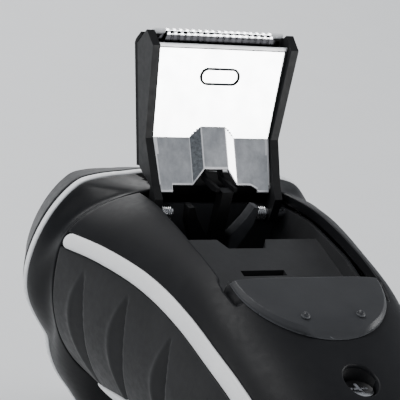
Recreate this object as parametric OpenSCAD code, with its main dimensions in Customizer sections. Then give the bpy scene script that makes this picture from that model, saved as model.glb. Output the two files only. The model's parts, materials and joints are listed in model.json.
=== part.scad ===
// Triple-head rotary shaver lying on its front, pop-up trimmer open.
// Right is +X, the head is at +Y, the back of the handle faces +Z.
// Shapes are drawn about the trimmer's hinge zone, then placed on the floor.

/* [Handle] */
// Half-width of the handle at the head seam
seam_half_w = 35.3; // [34.8:0.1:35.8]
// Half-width at the narrowest grip
grip_half_w = 24; // [23.5:0.1:24.6]
// Wall thickness of the shells
wall = 2; // [1.8:0.1:2.2]
// Width of the satin trim strips
strip_w = 2.2; // [1.8:0.1:2.6]
// Length of the tail end cap
cap_len = 12; // [11:0.5:13]

/* [Head] */
// Radius of the head outline at the tip of a lobe
lobe_tip_r = 38.6; // [38.4:0.1:38.7]
// Radius of the head outline where two lobes meet
lobe_valley_r = 30.9; // [30.5:0.1:31.3]
// Distance of each cutter from the head centre
cutter_spread = 19; // [18.9:0.05:19.1]
// Outer radius of a cutter cap
cap_r = 13.2; // [12.9:0.1:13.3]
// How far a cutter cap floats inwards
cap_float = 1.2; // [0.8:0.1:1.3]

/* [Trimmer] */
// Half-width of the steel face at its top
face_top_w = 16.5; // [16.2:0.1:16.6]
// Half-width of the steel face at its lower edge
face_low_w = 14.2; // [14:0.1:14.3]
// Number of comb teeth
tooth_count = 17; // [13:2:21]
// Side stroke of the trimmer blade
blade_stroke = 1; // [0.6:0.1:1]

/* [Release slider] */
// Radius of the D-shaped slider
slider_r = 18; // [17.5:0.1:18.1]
// Travel of the slider
slider_travel = 3; // [2:0.5:3]

/* [Drive] */
// Teeth on the central motor gear
motor_teeth = 34; // [34:1:34]
// Teeth on each spindle gear
spindle_teeth = 16; // [16:1:16]

/* [Hidden] */
$fn = 48;
floor_z = -67;        // lowest level, below the hinge zone
mid_y = 47.5;         // from the hinge zone to the middle of the length
seam_y = 3;
tail_y = -112;
end_y = tail_y - cap_len;
ring_y0 = 13.2;
ring_y1 = 15;
head_y0 = 15.3;
head_y1 = 26.5;
head_centre_z = -28;
cap_flange_y = 20.4;   // underside of the cap flanges
ring_steps = 60;
// hinge line of the trimmer
hinge_y = 1.5;
hinge_z = -3;
hinge_pin_r = 1.2;
// trimmer face: lower part leans 35 degrees, upper part 9.2 degrees
low_lean = 35;
top_lean = 9.2;
low_len = 10.8;
top_len = 21.2;
low_edge = [2.69, 3.21];
crease = low_edge + low_len * [sin(low_lean), cos(low_lean)];
face_t = 0.5;
crease_w = 14.93;
// trimmer well
well_top_w = 18.4;
well_mid_w = 19.3;
well_end_w = 18.9;
well_wall = 1.2;
well_end_y = -39.5;
well_head_y = 4.1;
step_y = -13;
deep_z = -18;
// release slider seat
seat_y = -40;
seat_z = -1;
seat_slope = 9.5;
slider_top = 3.8;
screw_y = -67.8;
screw_z = -8.4;
// side grooves of the grips: [upper tip, length]
grooves = [[[-7.3, -12], 27], [[-22.9, -10], 28], [[-39.5, -11.3], 26], [[-55, -17], 20]];
groove_bow = 4.5;
groove_back = 1.3;
groove_lean = 2.4;
// drive
shaft_r = 1.2;
gear_module = 2 * cutter_spread / (motor_teeth + spindle_teeth);
gear_y = 8;
gear_t = 2.6;
lever_pin_z = -14;
cutter_angles = [0, 120, 240];

// Handle outline against length: [y, value]
half_w_knots = [[3, seam_half_w], [-10, 33], [-25, 30.5], [-40, 28.3], [-60, 25.5],
    [-80, grip_half_w], [-100, grip_half_w + 0.6], [-112, grip_half_w + 1], [-126, grip_half_w + 1]];
top_knots = [[3, 2.8], [-10, 5.4], [-25, 5.8], [-38, 4], [-48, 0.4], [-57, -2.8], [-68, -6.5],
    [-85, -13], [-100, -17], [-112, -19.5], [-126, -22]];
mid_knots = [[3, -15], [-25, -18], [-60, -24], [-90, -34], [-112, -41], [-126, -43]];
bottom_knots = [[3, -50], [-25, -49], [-40, -47], [-55, -47], [-70, -49], [-85, -53],
    [-100, -59], [-112, -64], [-126, -65]];
top_power_knots = [[3, 2.5], [-25, 2.6], [-40, 3], [-50, 3.3], [-60, 3.1], [-75, 2.7],
    [-112, 2.4], [-126, 2.4]];
low_power_knots = [[3, 2.2], [-25, 2.15], [-60, 2], [-112, 2.6], [-126, 2.6]];
// Head outline from its top round to its lowest point:
// [minus the angle from the top, share of the way from valley radius to tip radius]
head_shape = [[0, -0.117], [-15, -0.018], [-29, 0.299], [-35, 0.526], [-40.4, 0.766], [-45.5, 0.974],
    [-50, 1.02], [-55, 1.02], [-60, 1], [-70, 0.922], [-80, 0.818], [-85, 0.74], [-90, 0.636],
    [-95, 0.494], [-100, 0.325], [-105, 0.169], [-110, 0.039], [-113.6, -0.006], [-117, 0.032],
    [-122, 0.091], [-132, 0.188], [-140, 0.26], [-145, 0.351], [-152, 0.532], [-160, 0.766],
    [-170, 0.948], [-180, 1.006], [-190, 0.948]];
// Centre heights of the trim strips
upper_strip_knots = [[3, -9.9], [-10, -7.5], [-25, -6.3], [-40, -7.2], [-55, -10.6], [-70, -15],
    [-85, -20], [-100, -24.5], [-112, -27.5], [-126, -29.5]];
lower_strip_knots = [[3, -45.5], [-7, -42.5], [-20, -38], [-35, -34.5], [-55, -34], [-75, -37.5],
    [-95, -44], [-112, -50.5], [-126, -53]];
handle_rings = [3, -2, -7, -12, -18, -25, -32, -39, -46, -54, -62, -70, -78, -86, -94, -103, -112];

// ---------- smooth curves ----------

function span_at(y, k, i = 0) = (i >= len(k) - 2 || y >= k[i + 1][0]) ? i : span_at(y, k, i + 1);

function slope_at(k, i) =
    let (a = max(i - 1, 0), b = min(i + 1, len(k) - 1))
    (k[b][1] - k[a][1]) / (k[b][0] - k[a][0]);

function smooth(y, k) =
    let (i = span_at(y, k), h = k[i + 1][0] - k[i][0], t = (y - k[i][0]) / h)
    (2 * t * t * t - 3 * t * t + 1) * k[i][1]
    + (t * t * t - 2 * t * t + t) * h * slope_at(k, i)
    + (3 * t * t - 2 * t * t * t) * k[i + 1][1]
    + (t * t * t - t * t) * h * slope_at(k, i + 1);

// ---------- outlines ----------

function handle_point(y, ang, grow) =
    let (up = sin(ang) >= 0,
         a = smooth(y, half_w_knots) + grow,
         mid = smooth(y, mid_knots),
         b = (up ? smooth(y, top_knots) - mid : mid - smooth(y, bottom_knots)) + grow,
         n = up ? smooth(y, top_power_knots) : smooth(y, low_power_knots),
         r = pow(pow(abs(cos(ang)) / a, n) + pow(abs(sin(ang)) / b, n), -1 / n))
    [r * cos(ang), mid + r * sin(ang)];

function lobe_point(ang, grow) =
    let (from_top = abs((ang + 90) % 360 - 180),
         r = lobe_valley_r + (lobe_tip_r - lobe_valley_r) * smooth(-from_top, head_shape) + grow)
    [r * cos(ang), head_centre_z + r * sin(ang)];

function lobe_outline(grow) = [for (i = [0 : 71]) lobe_point(i * 5, grow)];

// one half arc of a side groove: [y, z] from its upper tip down
function groove_side(tip, length, bow) =
    [for (i = [0 : 12]) let (t = i / 12)
        [tip[0] + bow * length / 28 * sin(180 * t) - groove_lean * t, tip[1] - length * t]];

function reversed(list) = [for (i = [len(list) - 1 : -1 : 0]) list[i]];

// flat ring with round ends: [x, z]
function stadium(half, r) =
    concat([for (a = [-90 : 15 : 90]) [half + r * cos(a), r * sin(a)]],
           [for (a = [90 : 15 : 270]) [-half + r * cos(a), r * sin(a)]]);

function handle_ring(y, grow) =
    [for (i = [0 : ring_steps - 1]) let (p = handle_point(y, i * 360 / ring_steps, grow)) [p[0], y, p[1]]];

function lobe_ring(y, grow) =
    [for (i = [0 : ring_steps - 1]) let (p = lobe_point(i * 360 / ring_steps, grow)) [p[0], y, p[1]]];

function collar_ring(y, grow) =
    let (t = max(0, (y - seam_y) / (ring_y0 - seam_y)), s = sin(90 * min(t, 1)))
    [for (i = [0 : ring_steps - 1])
        let (ang = i * 360 / ring_steps, p = handle_point(seam_y, ang, grow), q = lobe_point(ang, grow))
        [p[0] * (1 - s) + q[0] * s, y, p[1] * (1 - s) + q[1] * s]];

function end_ring(y, grow, shrink) =
    let (c = (smooth(y, top_knots) + smooth(y, bottom_knots)) / 2)
    [for (p = handle_ring(y, grow)) [p[0] * shrink, y, c + (p[2] - c) * shrink]];

// ---------- solids ----------

module placed() {
    translate([0, mid_y, -floor_z])
    children();
}

// closed skin over a list of rings, from the head end to the tail end
module skin(rings) {
    n = len(rings[0]);
    last = len(rings) - 1;
    points = [for (r = rings) each r];
    sides = [for (i = [0 : last - 1], j = [0 : n - 1])
        each [[i * n + j, (i + 1) * n + j, (i + 1) * n + (j + 1) % n],
              [i * n + j, (i + 1) * n + (j + 1) % n, i * n + (j + 1) % n]]];
    head_face = [for (j = [0 : n - 1]) j];
    tail_face = [for (j = [n - 1 : -1 : 0]) last * n + j];
    polyhedron(points, concat([head_face], sides, [tail_face]));
}

// side-view outline [y, z], drawn across the width
module x_prism(points, x0, x1) {
    translate([x0, 0, 0])
    rotate([90, 0, 90])
    linear_extrude(x1 - x0)
    polygon(points);
}

// end-view outline [x, z], drawn along the length
module y_prism(points, y0, y1) {
    translate([0, y1, 0])
    rotate([90, 0, 0])
    linear_extrude(y1 - y0)
    polygon(points);
}

// round bar along the width or the length
module x_bar(r, x0, x1) {
    translate([x0, 0, 0])
    rotate([0, 90, 0])
    cylinder(r = r, h = x1 - x0);
}

module y_bar(r, y0, y1) {
    translate([0, y0, 0])
    rotate([-90, 0, 0])
    cylinder(r = r, h = y1 - y0);
}

module box(x0, x1, y0, y1, z0, z1) {
    translate([x0, y0, z0])
    cube([x1 - x0, y1 - y0, z1 - z0]);
}

module both_sides() {
    children();
    mirror([1, 0, 0])
    children();
}

// round wire wound about +X
module coil(r, wire, turns, pitch, wire_steps = 6, round_steps = 16) {
    count = turns * round_steps;
    points = [for (i = [0 : count], j = [0 : wire_steps - 1])
        let (a = i * 360 / round_steps, b = j * 360 / wire_steps, q = r + wire * cos(b))
        [i * pitch / round_steps + wire * sin(b), q * cos(a), q * sin(a)]];
    sides = [for (i = [0 : count - 1], j = [0 : wire_steps - 1])
        let (a = i * wire_steps + j, b = i * wire_steps + (j + 1) % wire_steps)
        each [[a, b, b + wire_steps], [a, b + wire_steps, a + wire_steps]]];
    start_face = [for (j = [wire_steps - 1 : -1 : 0]) j];
    end_face = [for (j = [0 : wire_steps - 1]) count * wire_steps + j];
    polyhedron(points, concat([start_face], sides, [end_face]));
}

module upper_face_place() {
    translate([0, crease[0], crease[1]])
    rotate([-top_lean, 0, 0])
    children();
}

module lower_face_place() {
    translate([0, low_edge[0], low_edge[1]])
    rotate([-low_lean, 0, 0])
    children();
}

module seat_place() {
    translate([0, seat_y, seat_z])
    rotate([seat_slope, 0, 0])
    children();
}

module cutter_place(k) {
    translate([0, 0, head_centre_z])
    rotate([0, cutter_angles[k], 0])
    translate([0, 0, -cutter_spread])
    children();
}

// ---------- handle ----------

module handle_solid(grow) {
    skin([for (y = handle_rings) handle_ring(y, grow)]);
}

// everything between two height curves, along the whole handle
module height_band(low_knots, low_shift, high_knots, high_shift) {
    reach = 140;
    ys = [for (y = [4 : -4 : -128]) y];
    high = [for (y = ys) [y, len(high_knots) > 0 ? smooth(y, high_knots) + high_shift : reach]];
    low = [for (i = [len(ys) - 1 : -1 : 0])
        [ys[i], len(low_knots) > 0 ? smooth(ys[i], low_knots) + low_shift : -reach]];
    x_prism(concat(high, low), -reach, reach);
}

module handle_band(low_knots, low_shift, high_knots, high_shift, outside, inside) {
    intersection() {
        difference() {
            handle_solid(outside);
            skin([for (y = handle_rings) handle_ring(y == 3 ? 3.2 : y == -112 ? -112.2 : y, inside)]);
        }
        height_band(low_knots, low_shift, high_knots, high_shift);
    }
}

module well_opening(grow, low) {
    linear_extrude(40)
    polygon([[-well_top_w - grow, 6], [well_top_w + grow, 6], [well_top_w + grow, 0],
             [well_mid_w + grow, -14], [well_mid_w + grow, -26], [well_end_w + grow, well_end_y - grow],
             [-well_end_w - grow, well_end_y - grow], [-well_mid_w - grow, -26], [-well_mid_w - grow, -14],
             [-well_top_w - grow, 0]]);
}

// room for the slider at both ends of its travel, flat at the front
module slider_recess() {
    intersection() {
        hull() {
            cylinder(r = slider_r + 0.6, h = 12);
            translate([0, -slider_travel, 0])
            cylinder(r = slider_r + 0.6, h = 12);
        }
        box(-slider_r - 1, slider_r + 1, -slider_r - 4 - slider_travel, 0.5, 0, 12);
    }
}

module back_shell() {
    color([0.42, 0.43, 0.45])
    placed()
    resize([0, 0, 0])
    difference() {
        intersection() {
            union() {
                difference() {
                    handle_solid(0);
                    skin([for (y = handle_rings) handle_ring(y == 3 ? 3.2 : y == -112 ? -112.2 : y, -wall)]);
                }
                intersection() {
                    handle_solid(-wall / 2);
                    seat_place()
                    box(-22, 22, -24, -0.8, -2, 0);
                }
                translate([0, screw_y, -14])
                cylinder(r = 4.8, h = 6.5);
            }
            height_band(upper_strip_knots, strip_w / 2 + 0.05, [], 0);
        }
        seat_place()
        slider_recess();
        seat_place()
        box(-5.6, 5.6, -15.8, -6.4, -6, 1);
        translate([0, 0, -20])
        well_opening(0);
        translate([0, screw_y, screw_z - 1.4])
        cylinder(r = 3.7, h = 20);
        translate([0, screw_y, -30])
        cylinder(r = 1.3, h = 25);
    }
}

module front_shell() {
    color([0.13, 0.13, 0.14])
    placed()
    resize([0, 0, 0])
    difference() {
        handle_band([], 0, lower_strip_knots, -strip_w / 2 - 0.05, 0, -wall);
        translate([0, -42, -60])
        cylinder(r = 7.3, h = 20);
        translate([0, -56, -60])
        cylinder(r = 1.7, h = 20);
    }
}

module grip() {
    difference() {
        intersection() {
            handle_band(lower_strip_knots, strip_w / 2 + 0.05, upper_strip_knots, -strip_w / 2 - 0.05, 0, -wall);
            box(0, 60, -112, 3, -80, 20);
        }
        difference() {
            for (g = grooves)
                x_prism(concat(groove_side(g[0], g[1], groove_bow),
                               reversed(groove_side(g[0], g[1], -groove_back))), 0, 60);
            handle_solid(-0.9);
        }
    }
}

module right_grip() {
    color([0.1, 0.1, 0.11])
    placed()
    resize([0, 0, 0])
    grip();
}

module left_grip() {
    color([0.1, 0.1, 0.11])
    placed()
    resize([0, 0, 0])
    mirror([1, 0, 0])
    grip();
}

module trim_strip(knots) {
    intersection() {
        handle_band(knots, -strip_w / 2, knots, strip_w / 2, 0.4, -1.2);
        box(0, 60, -112, 3, -80, 20);
    }
}

module right_upper_trim() {
    color([0.86, 0.87, 0.88])
    placed()
    resize([0, 0, 0])
    trim_strip(upper_strip_knots);
}

module left_upper_trim() {
    color([0.86, 0.87, 0.88])
    placed()
    resize([0, 0, 0])
    mirror([1, 0, 0])
    trim_strip(upper_strip_knots);
}

module right_lower_trim() {
    color([0.86, 0.87, 0.88])
    placed()
    resize([0, 0, 0])
    trim_strip(lower_strip_knots);
}

module left_lower_trim() {
    color([0.86, 0.87, 0.88])
    placed()
    resize([0, 0, 0])
    mirror([1, 0, 0])
    trim_strip(lower_strip_knots);
}

foot_z = -62.6;

module foot_solid(grow) {
    box(-9 - grow, 9 + grow, -121 - grow, -113 + grow, floor_z, foot_z + grow);
}

module end_cap() {
    color([0.11, 0.11, 0.12])
    placed()
    resize([0, 0, 0])
    difference() {
        skin([end_ring(tail_y, 0, 1), end_ring(-115, 0, 0.995), end_ring(-118, 0, 0.975),
              end_ring(-120.5, 0, 0.93), end_ring(-122.5, 0, 0.86), end_ring(end_y + 0.4, 0, 0.78),
              end_ring(end_y, 0, 0.7)]);
        skin([end_ring(tail_y + 0.2, -wall, 1), end_ring(-117, -wall, 0.94), end_ring(-119.5, -wall, 0.88),
              end_ring(-121.5, -wall, 0.74)]);
        foot_solid(0);
        translate([0, 0, -43])
        y_bar(4.4, end_y - 2, tail_y);
        both_sides()
        translate([11, 0, -43])
        y_bar(2.4, end_y - 2, end_y + 1.2);
        both_sides()
        translate([11, 0, -43])
        y_bar(1.05, end_y - 2, tail_y);
    }
}

module foot_pad() {
    color([0.08, 0.08, 0.08])
    placed()
    difference() {
        foot_solid(0);
        for (x = [-5, 0, 5])
            box(x - 0.5, x + 0.5, -122, -112, floor_z - 1, floor_z + 0.5);
    }
}

module charging_socket() {
    color([0.06, 0.06, 0.06])
    placed()
    translate([0, 0, -43])
    difference() {
        union() {
            y_bar(4.3, end_y + 0.1, end_y + 12);
            y_bar(5.4, end_y + 9, end_y + 11);
        }
        y_bar(2, end_y - 1, end_y + 8.1);
    }
}

module socket_contacts() {
    color([0.75, 0.66, 0.4])
    placed()
    both_sides()
    box(1.2, 2, end_y + 12.1, end_y + 17, -44, -42);
}

module end_screws() {
    color([0.6, 0.6, 0.62])
    placed()
    both_sides()
    translate([11, 0, -43])
    difference() {
        union() {
            y_bar(2.2, end_y + 0.2, end_y + 1.2);
            y_bar(1, end_y + 1.2, end_y + 9);
        }
        box(-1.4, 1.4, end_y, end_y + 0.8, -0.25, 0.25);
        box(-0.25, 0.25, end_y, end_y + 0.8, -1.4, 1.4);
    }
}

module back_screw() {
    color([0.75, 0.76, 0.78])
    placed()
    translate([0, screw_y, screw_z])
    difference() {
        union() {
            translate([0, 0, -1.4])
            cylinder(r = 3.1, h = 1.4);
            translate([0, 0, -9])
            cylinder(r = 1.2, h = 7.7);
        }
        box(-1.9, 1.9, -0.35, 0.35, -0.8, 1);
        box(-0.35, 0.35, -1.9, 1.9, -0.8, 1);
    }
}

// ---------- trimmer well ----------

module trimmer_well() {
    wall_x = well_mid_w + well_wall + 1;
    color([0.3, 0.31, 0.33])
    placed()
    difference() {
        intersection() {
            x_prism([[well_head_y + well_wall, -2.2], [-8, -0.6], [-25, -1.4], [well_end_y - well_wall, -4.8],
                     [well_end_y - well_wall, -8.6], [step_y - well_wall, -3.95],
                     [step_y - well_wall, deep_z - well_wall], [well_head_y + well_wall, deep_z - well_wall]],
                    -wall_x, wall_x);
            translate([0, 0, -30])
            well_opening(well_wall);
        }
        intersection() {
            x_prism([[well_head_y, 10], [well_head_y, deep_z], [step_y, deep_z], [step_y, -2.6],
                     [well_end_y, -7.3], [well_end_y, 10]], -wall_x, wall_x);
            translate([0, 0, -30])
            well_opening(0);
        }
        // notch that clears the raised middle of the trimmer face
        translate([0, 0, -6.5])
        linear_extrude(10)
        polygon([[-6.6, step_y + 1], [6.6, step_y + 1], [4.6, -16.2], [-4.6, -16.2]]);
        // latch slot
        translate([0, 0, -10])
        linear_extrude(10)
        polygon([[-5.4, -25.9], [5.4, -25.9], [5.4, -24], [-5.4, -24]]);
        translate([0, 0, lever_pin_z])
        y_bar(1, step_y - 2, well_head_y + 2);
        translate([0, hinge_y, hinge_z])
        x_bar(hinge_pin_r, -wall_x, wall_x);
    }
}

module hinge_pins() {
    color([0.7, 0.7, 0.72])
    placed()
    both_sides()
    translate([0, hinge_y, hinge_z])
    x_bar(hinge_pin_r, 10.3, well_top_w + well_wall);
}

module hinge_springs() {
    color([0.72, 0.73, 0.75])
    placed()
    resize([0, 0, 0])
    both_sides()
    translate([10.95, hinge_y, hinge_z])
    coil(1.6, 0.2, 5, 0.48, 6, 12);
}

module lever_pin() {
    color([0.7, 0.7, 0.72])
    placed()
    translate([0, 0, lever_pin_z])
    y_bar(1, step_y - well_wall, well_head_y + well_wall);
}

module drive_lever() {
    color([0.07, 0.07, 0.08])
    placed()
    difference() {
        union() {
            y_prism([[-1.4, -14], [1.4, -14], [1.4, 4.2], [-1.4, 4.2]], -3.4, -0.8);
            y_prism([[-2.4, -15], [2.4, -15], [6.6, -7.4], [8.4, -3.6], [8.9, 0.4], [7.6, 0.6], [6.2, -2.2],
                     [4, -5.2], [1.2, -8.5], [-1.2, -8.5], [-4, -5.2], [-6.2, -2.2], [-7.6, 0.6], [-8.9, 0.4],
                     [-8.4, -3.6], [-6.6, -7.4]], -3.4, -0.8);
            translate([0, 0, lever_pin_z])
            y_bar(2.8, -5, 0.4);
        }
        translate([0, 0, lever_pin_z])
        y_bar(1.06, -6, 2);
    }
}

// ---------- release slider ----------

module release_slider() {
    rim = 1;              // height of the chamfer round the top
    bottom = 0.3;
    color([0.24, 0.25, 0.27])
    placed()
    seat_place()
    union() {
        intersection() {
            rotate_extrude($fn = 96)
            polygon([[0, bottom], [slider_r, bottom], [slider_r, slider_top - rim],
                     [slider_r - 1.4 * rim, slider_top], [0, slider_top]]);
            x_prism([[-0.3, -1], [-0.3, slider_top - rim], [-1.4 * rim - 0.3, slider_top], [-11.5, slider_top],
                     [-14, slider_top - 0.5], [-16, slider_top - 1.5], [-17.4, slider_top - 2.6], [-18.4, bottom],
                     [-18.4, -1]], -30, 30);
        }
        both_sides()
        translate([6.6, -12.8, slider_top - 0.2])
        sphere(r = 0.8, $fn = 24);
        box(-5, 5, -12, -7, -2.6, 1);
        box(-8, 8, -13, -6, -6.5, -2.5);
    }
}

module slider_spring() {
    color([0.72, 0.73, 0.75])
    placed()
    resize([0, 0, 0])
    translate([0, -61.9, -8.7])
    rotate([0, 0, 90])
    coil(1.3, 0.3, 6, 1.45);
}

// ---------- trimmer ----------

module trimmer_frame() {
    color([0.16, 0.17, 0.18])
    placed()
    difference() {
        union() {
            difference() {
                intersection() {
                    union() {
                        x_prism([[10.8, 32.9], [14.7, 35], [18.3, 30.5], [9.3, 4.9], [6.5, 3.9], [3.2, 3.5],
                                 [2.6, 2.8], [2.6, hinge_z], [-0.7, hinge_z], [-0.7, 1.2], [1.7, 3.4], [8.1, 12.1]],
                                -20, 20);
                        translate([0, hinge_y, hinge_z])
                        x_bar(2.2, -20, 20);
                    }
                    y_prism([[-15.7, -6], [15.7, -6], [18.75, 36], [-18.75, 36]], -10, 30);
                }
                y_prism([[-13.75, -6], [13.75, -6], [16.85, 36], [-16.85, 36]], -11, 31);
            }
            // cross rib behind the comb
            x_prism([[14.93, 24.9], [15.43, 27.9], [16.83, 27.7], [15.88, 25]], -16.3, 16.3);
        }
        translate([0, hinge_y, hinge_z])
        x_bar(hinge_pin_r + 0.06, -20, 20);
    }
}

module trimmer_cover() {
    color([0.2, 0.21, 0.22])
    placed()
    intersection() {
        x_prism([[10.6, 4.4], [19.6, 30.1], [19.35, 31], [17.3, 33.5], [16.6, 32.9], [18.42, 30.6],
                 [9.42, 4.85]], -20, 20);
        y_prism([[-16.3, 3], [16.3, 3], [18.75, 36], [-18.75, 36]], -10, 30);
    }
}

module trimmer_plate() {
    bulge = 1.1;          // height of the raised middle
    bulge_foot = 5.7;
    bulge_top = 3.05;
    notch = 3.4;          // height of the cut-out in the lower edge
    lap = 0.4;
    badge_z = 14;
    low_grow = (crease_w - face_low_w) / low_len;
    top_grow = (face_top_w - crease_w) / top_len;
    color([0.82, 0.83, 0.85])
    placed()
    union() {
        upper_face_place()
        y_prism([[top_grow * lap - crease_w, -lap], [crease_w - top_grow * lap, -lap],
                 [face_top_w, top_len - 1.1], [face_top_w - 0.7, top_len],
                 [0.7 - face_top_w, top_len], [-face_top_w, top_len - 1.1]], 0, face_t);
        // thin raised oval
        upper_face_place()
        translate([0, 0, badge_z])
        difference() {
            y_prism(stadium(3.05, 1.95), -0.15, 0.1);
            y_prism(stadium(3.05, 1.5), -1, 1);
        }
        lower_face_place()
        difference() {
            y_prism([[-face_low_w, 0], [face_low_w, 0], [crease_w + low_grow * lap, low_len + lap],
                     [-crease_w - low_grow * lap, low_len + lap]], 0, face_t);
            y_prism([[-6.6, -1], [6.6, -1], [bulge_top, notch], [-bulge_top, notch]], -1, 1);
        }
        difference() {
            lower_face_place()
            translate([0, 0, notch + 0.3])
            linear_extrude(low_len + 2.4 - notch)
            polygon([[-bulge_foot, 0.2], [-bulge_top, -bulge], [bulge_top, -bulge], [bulge_foot, 0.2]]);
            upper_face_place()
            box(-8, 8, face_t - 0.1, 4, -1, 6);
        }
        both_sides()
        lower_face_place()
        box(10.8, 13.8, 0, face_t, -1.6, 0.3);
    }
}

module comb(y0, y1, half_w, low, root, tip) {
    pitch = 2 * (face_top_w - 3.5) / (tooth_count - 1);
    box(-half_w, half_w, y0, y1, low, root);
    for (i = [0 : tooth_count - 1])
        translate([(i - (tooth_count - 1) / 2) * pitch, 0, 0])
        box(-0.42, 0.42, y0, y1, root - 0.1, tip);
}

module comb_blade() {
    guard_z = top_len + 2;
    guard_y = 3.35;
    color([0.78, 0.79, 0.81])
    placed()
    upper_face_place()
    difference() {
        union() {
            comb(3, 3.6, 15.8, 11.5, top_len - 0.4, top_len + 2.7);
            both_sides() {
                box(14.2, 15.6, 3, 3.6, top_len - 0.5, guard_z);
                translate([0, guard_y, guard_z])
                x_bar(0.65, 14, 16);
                translate([14, guard_y, guard_z])
                sphere(r = 0.65, $fn = 24);
                translate([16, guard_y, guard_z])
                sphere(r = 0.65, $fn = 24);
            }
        }
        box(-2.8, 2.8, 2, 4, 14, 18.6);
    }
}

module cutting_blade() {
    half_w = 15.2 - blade_stroke;   // stays under the comb at both ends of its stroke
    color([0.8, 0.81, 0.83])
    placed()
    upper_face_place()
    difference() {
        comb(2.1, 2.6, half_w, 13, top_len - 0.6, top_len + 2.1);
        box(-1.0, 1.0, 1, 3, 15.2, 18);
    }
}

module blade_spring() {
    color([0.72, 0.73, 0.75])
    placed()
    upper_face_place()
    union() {
        translate([0, 4, 12.6])
        x_bar(0.35, -9, 9);
        both_sides()
        box(8.4, 9.2, 3.6, 4.2, 12.1, 13.1);
    }
}

module arm_pin() {
    color([0.7, 0.7, 0.72])
    placed()
    upper_face_place()
    translate([0, 0, 4])
    y_bar(0.9, face_t, 3.3);
}

module trimmer_arm() {
    color([0.09, 0.09, 0.1])
    placed()
    difference() {
        union() {
            upper_face_place()
            box(-2.2, 2.2, 0.9, 1.7, -0.4, 17.4);
            upper_face_place()
            translate([0, 0, 16.6])
            y_bar(0.8, 1, 2.8);
            upper_face_place()
            translate([0, 0, 4])
            y_bar(3, 0.9, 2.3);
            lower_face_place()
            box(-2.7, 2.7, 0.9, 1.9, 2.8, low_len + 0.1);
            x_prism([[-2.6, 3.9], [-2.6, 4.9], [3.8, 4.6], [5.1, 5.05], [6.1, 6.45], [7, 5.9], [5, 3.65], [-0.5, 3.4]],
                    -2.6, 2.6);
        }
        intersection() {
            translate([0, hinge_y, hinge_z])
            x_bar(9.4, -1.75, 1.75);
            box(-3, 3, -9, 20, -9, 20);
        }
        upper_face_place()
        translate([0, 0, 4])
        y_bar(0.96, -2, 6);
    }
}

// ---------- inside the handle ----------

module gear_plate() {
    color([0.85, 0.85, 0.83])
    placed()
    difference() {
        translate([0, 0, head_centre_z])
        y_bar(25, 5.6, 7);
        translate([0, 0, head_centre_z])
        y_bar(2, 5, 8);
        for (k = [0 : 2])
            cutter_place(k)
            y_bar(1.3, 5, 8);
    }
}

module motor() {
    color([0.62, 0.63, 0.65])
    placed()
    translate([0, 0, head_centre_z])
    difference() {
        union() {
            y_bar(10.4, -50, -15.5);
            y_bar(3, -52, -50);
        }
        y_bar(shaft_r + 0.08, -30, -15);
    }
}

module motor_bracket() {
    color([0.2, 0.2, 0.22])
    placed()
    difference() {
        y_prism([[-13, -42], [13, -42], [24, -21], [-24, -21]], -15.4, -13.8);
        translate([0, 0, head_centre_z])
        y_bar(3.2, -17, -12);
    }
}

module battery_cells() {
    color([0.15, 0.35, 0.25])
    placed()
    both_sides()
    translate([7.3, 0, -34])
    union() {
        y_bar(7.1, -105, -55.5);
        y_bar(2.6, -55.5, -54.2);
    }
}

module circuit_board() {
    color([0.1, 0.35, 0.18])
    placed()
    union() {
        box(-13, 13, -100, -58, -25.8, -24.2);
        box(-4, 4, -92, -84, -24.3, -22.6);
        box(5, 9, -80, -74, -24.3, -22.2);
        box(-10, -5, -78, -72, -24.3, -22.8);
    }
}

module button_switch() {
    color([0.12, 0.12, 0.13])
    placed()
    box(-3.5, 3.5, -45.5, -38.5, -41.4, -38.7);
}

module button_ring() {
    color([0.8, 0.81, 0.82])
    placed()
    translate([0, -42, -48.1])
    difference() {
        cylinder(r = 7.2, h = 3.4);
        translate([0, 0, -1])
        cylinder(r = 5.7, h = 6);
    }
}

module power_button() {
    color([0.5, 0.51, 0.53])
    placed()
    translate([0, -42, -48.6])
    difference() {
        union() {
            cylinder(r = 5.3, h = 3.8);
            translate([0, 0, 3.8])
            cylinder(r = 2, h = 2);
        }
        translate([0, 0, -1])
        cylinder(r = 3.6, h = 1.4);
    }
}

module charge_light() {
    color([0.2, 0.7, 0.3])
    placed()
    translate([0, -56, -47.3])
    cylinder(r = 1.6, h = 3);
}

// trapezoid teeth on a disc, one tooth centred on the given angle
module gear(teeth, phase) {
    pitch_r = gear_module * teeth / 2;
    root_r = pitch_r - 1.2 * gear_module;
    tip_r = pitch_r + 0.85 * gear_module;
    root_w = gear_module * 1.7;
    tip_w = gear_module * 0.6;
    rotate([90, 0, 0])
    linear_extrude(gear_t)
    union() {
        circle(r = root_r);
        for (i = [0 : teeth - 1])
            rotate(phase + i * 360 / teeth)
            polygon([[root_r - 0.3, -root_w / 2], [tip_r, -tip_w / 2], [tip_r, tip_w / 2],
                     [root_r - 0.3, root_w / 2]]);
    }
}

// angle of a spindle gear that puts a gap in front of the nearest motor gear tooth
function mesh_phase(dir) =
    let (step = 360 / motor_teeth, nearest = round(dir / step) * step, off = nearest - dir)
    dir + 180 - off * motor_teeth / spindle_teeth + 180 / spindle_teeth;

module motor_gear() {
    color([0.9, 0.9, 0.86])
    placed()
    translate([0, 0, head_centre_z])
    union() {
        translate([0, gear_y + gear_t, 0])
        gear(motor_teeth, 0);
        y_bar(shaft_r, -29, gear_y + gear_t + 0.4);
    }
}

module spindle_gear(k) {
    dir = -90 - cutter_angles[k];
    color([0.9, 0.9, 0.86])
    placed()
    translate([cutter_spread * cos(dir), 0, head_centre_z + cutter_spread * sin(dir)])
    union() {
        translate([0, gear_y + gear_t, 0])
        gear(spindle_teeth, mesh_phase(dir));
        y_bar(1.24, 5.8, gear_y + 0.1);
        y_bar(1.9, gear_y + gear_t - 0.1, 23.2);
    }
}

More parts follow.
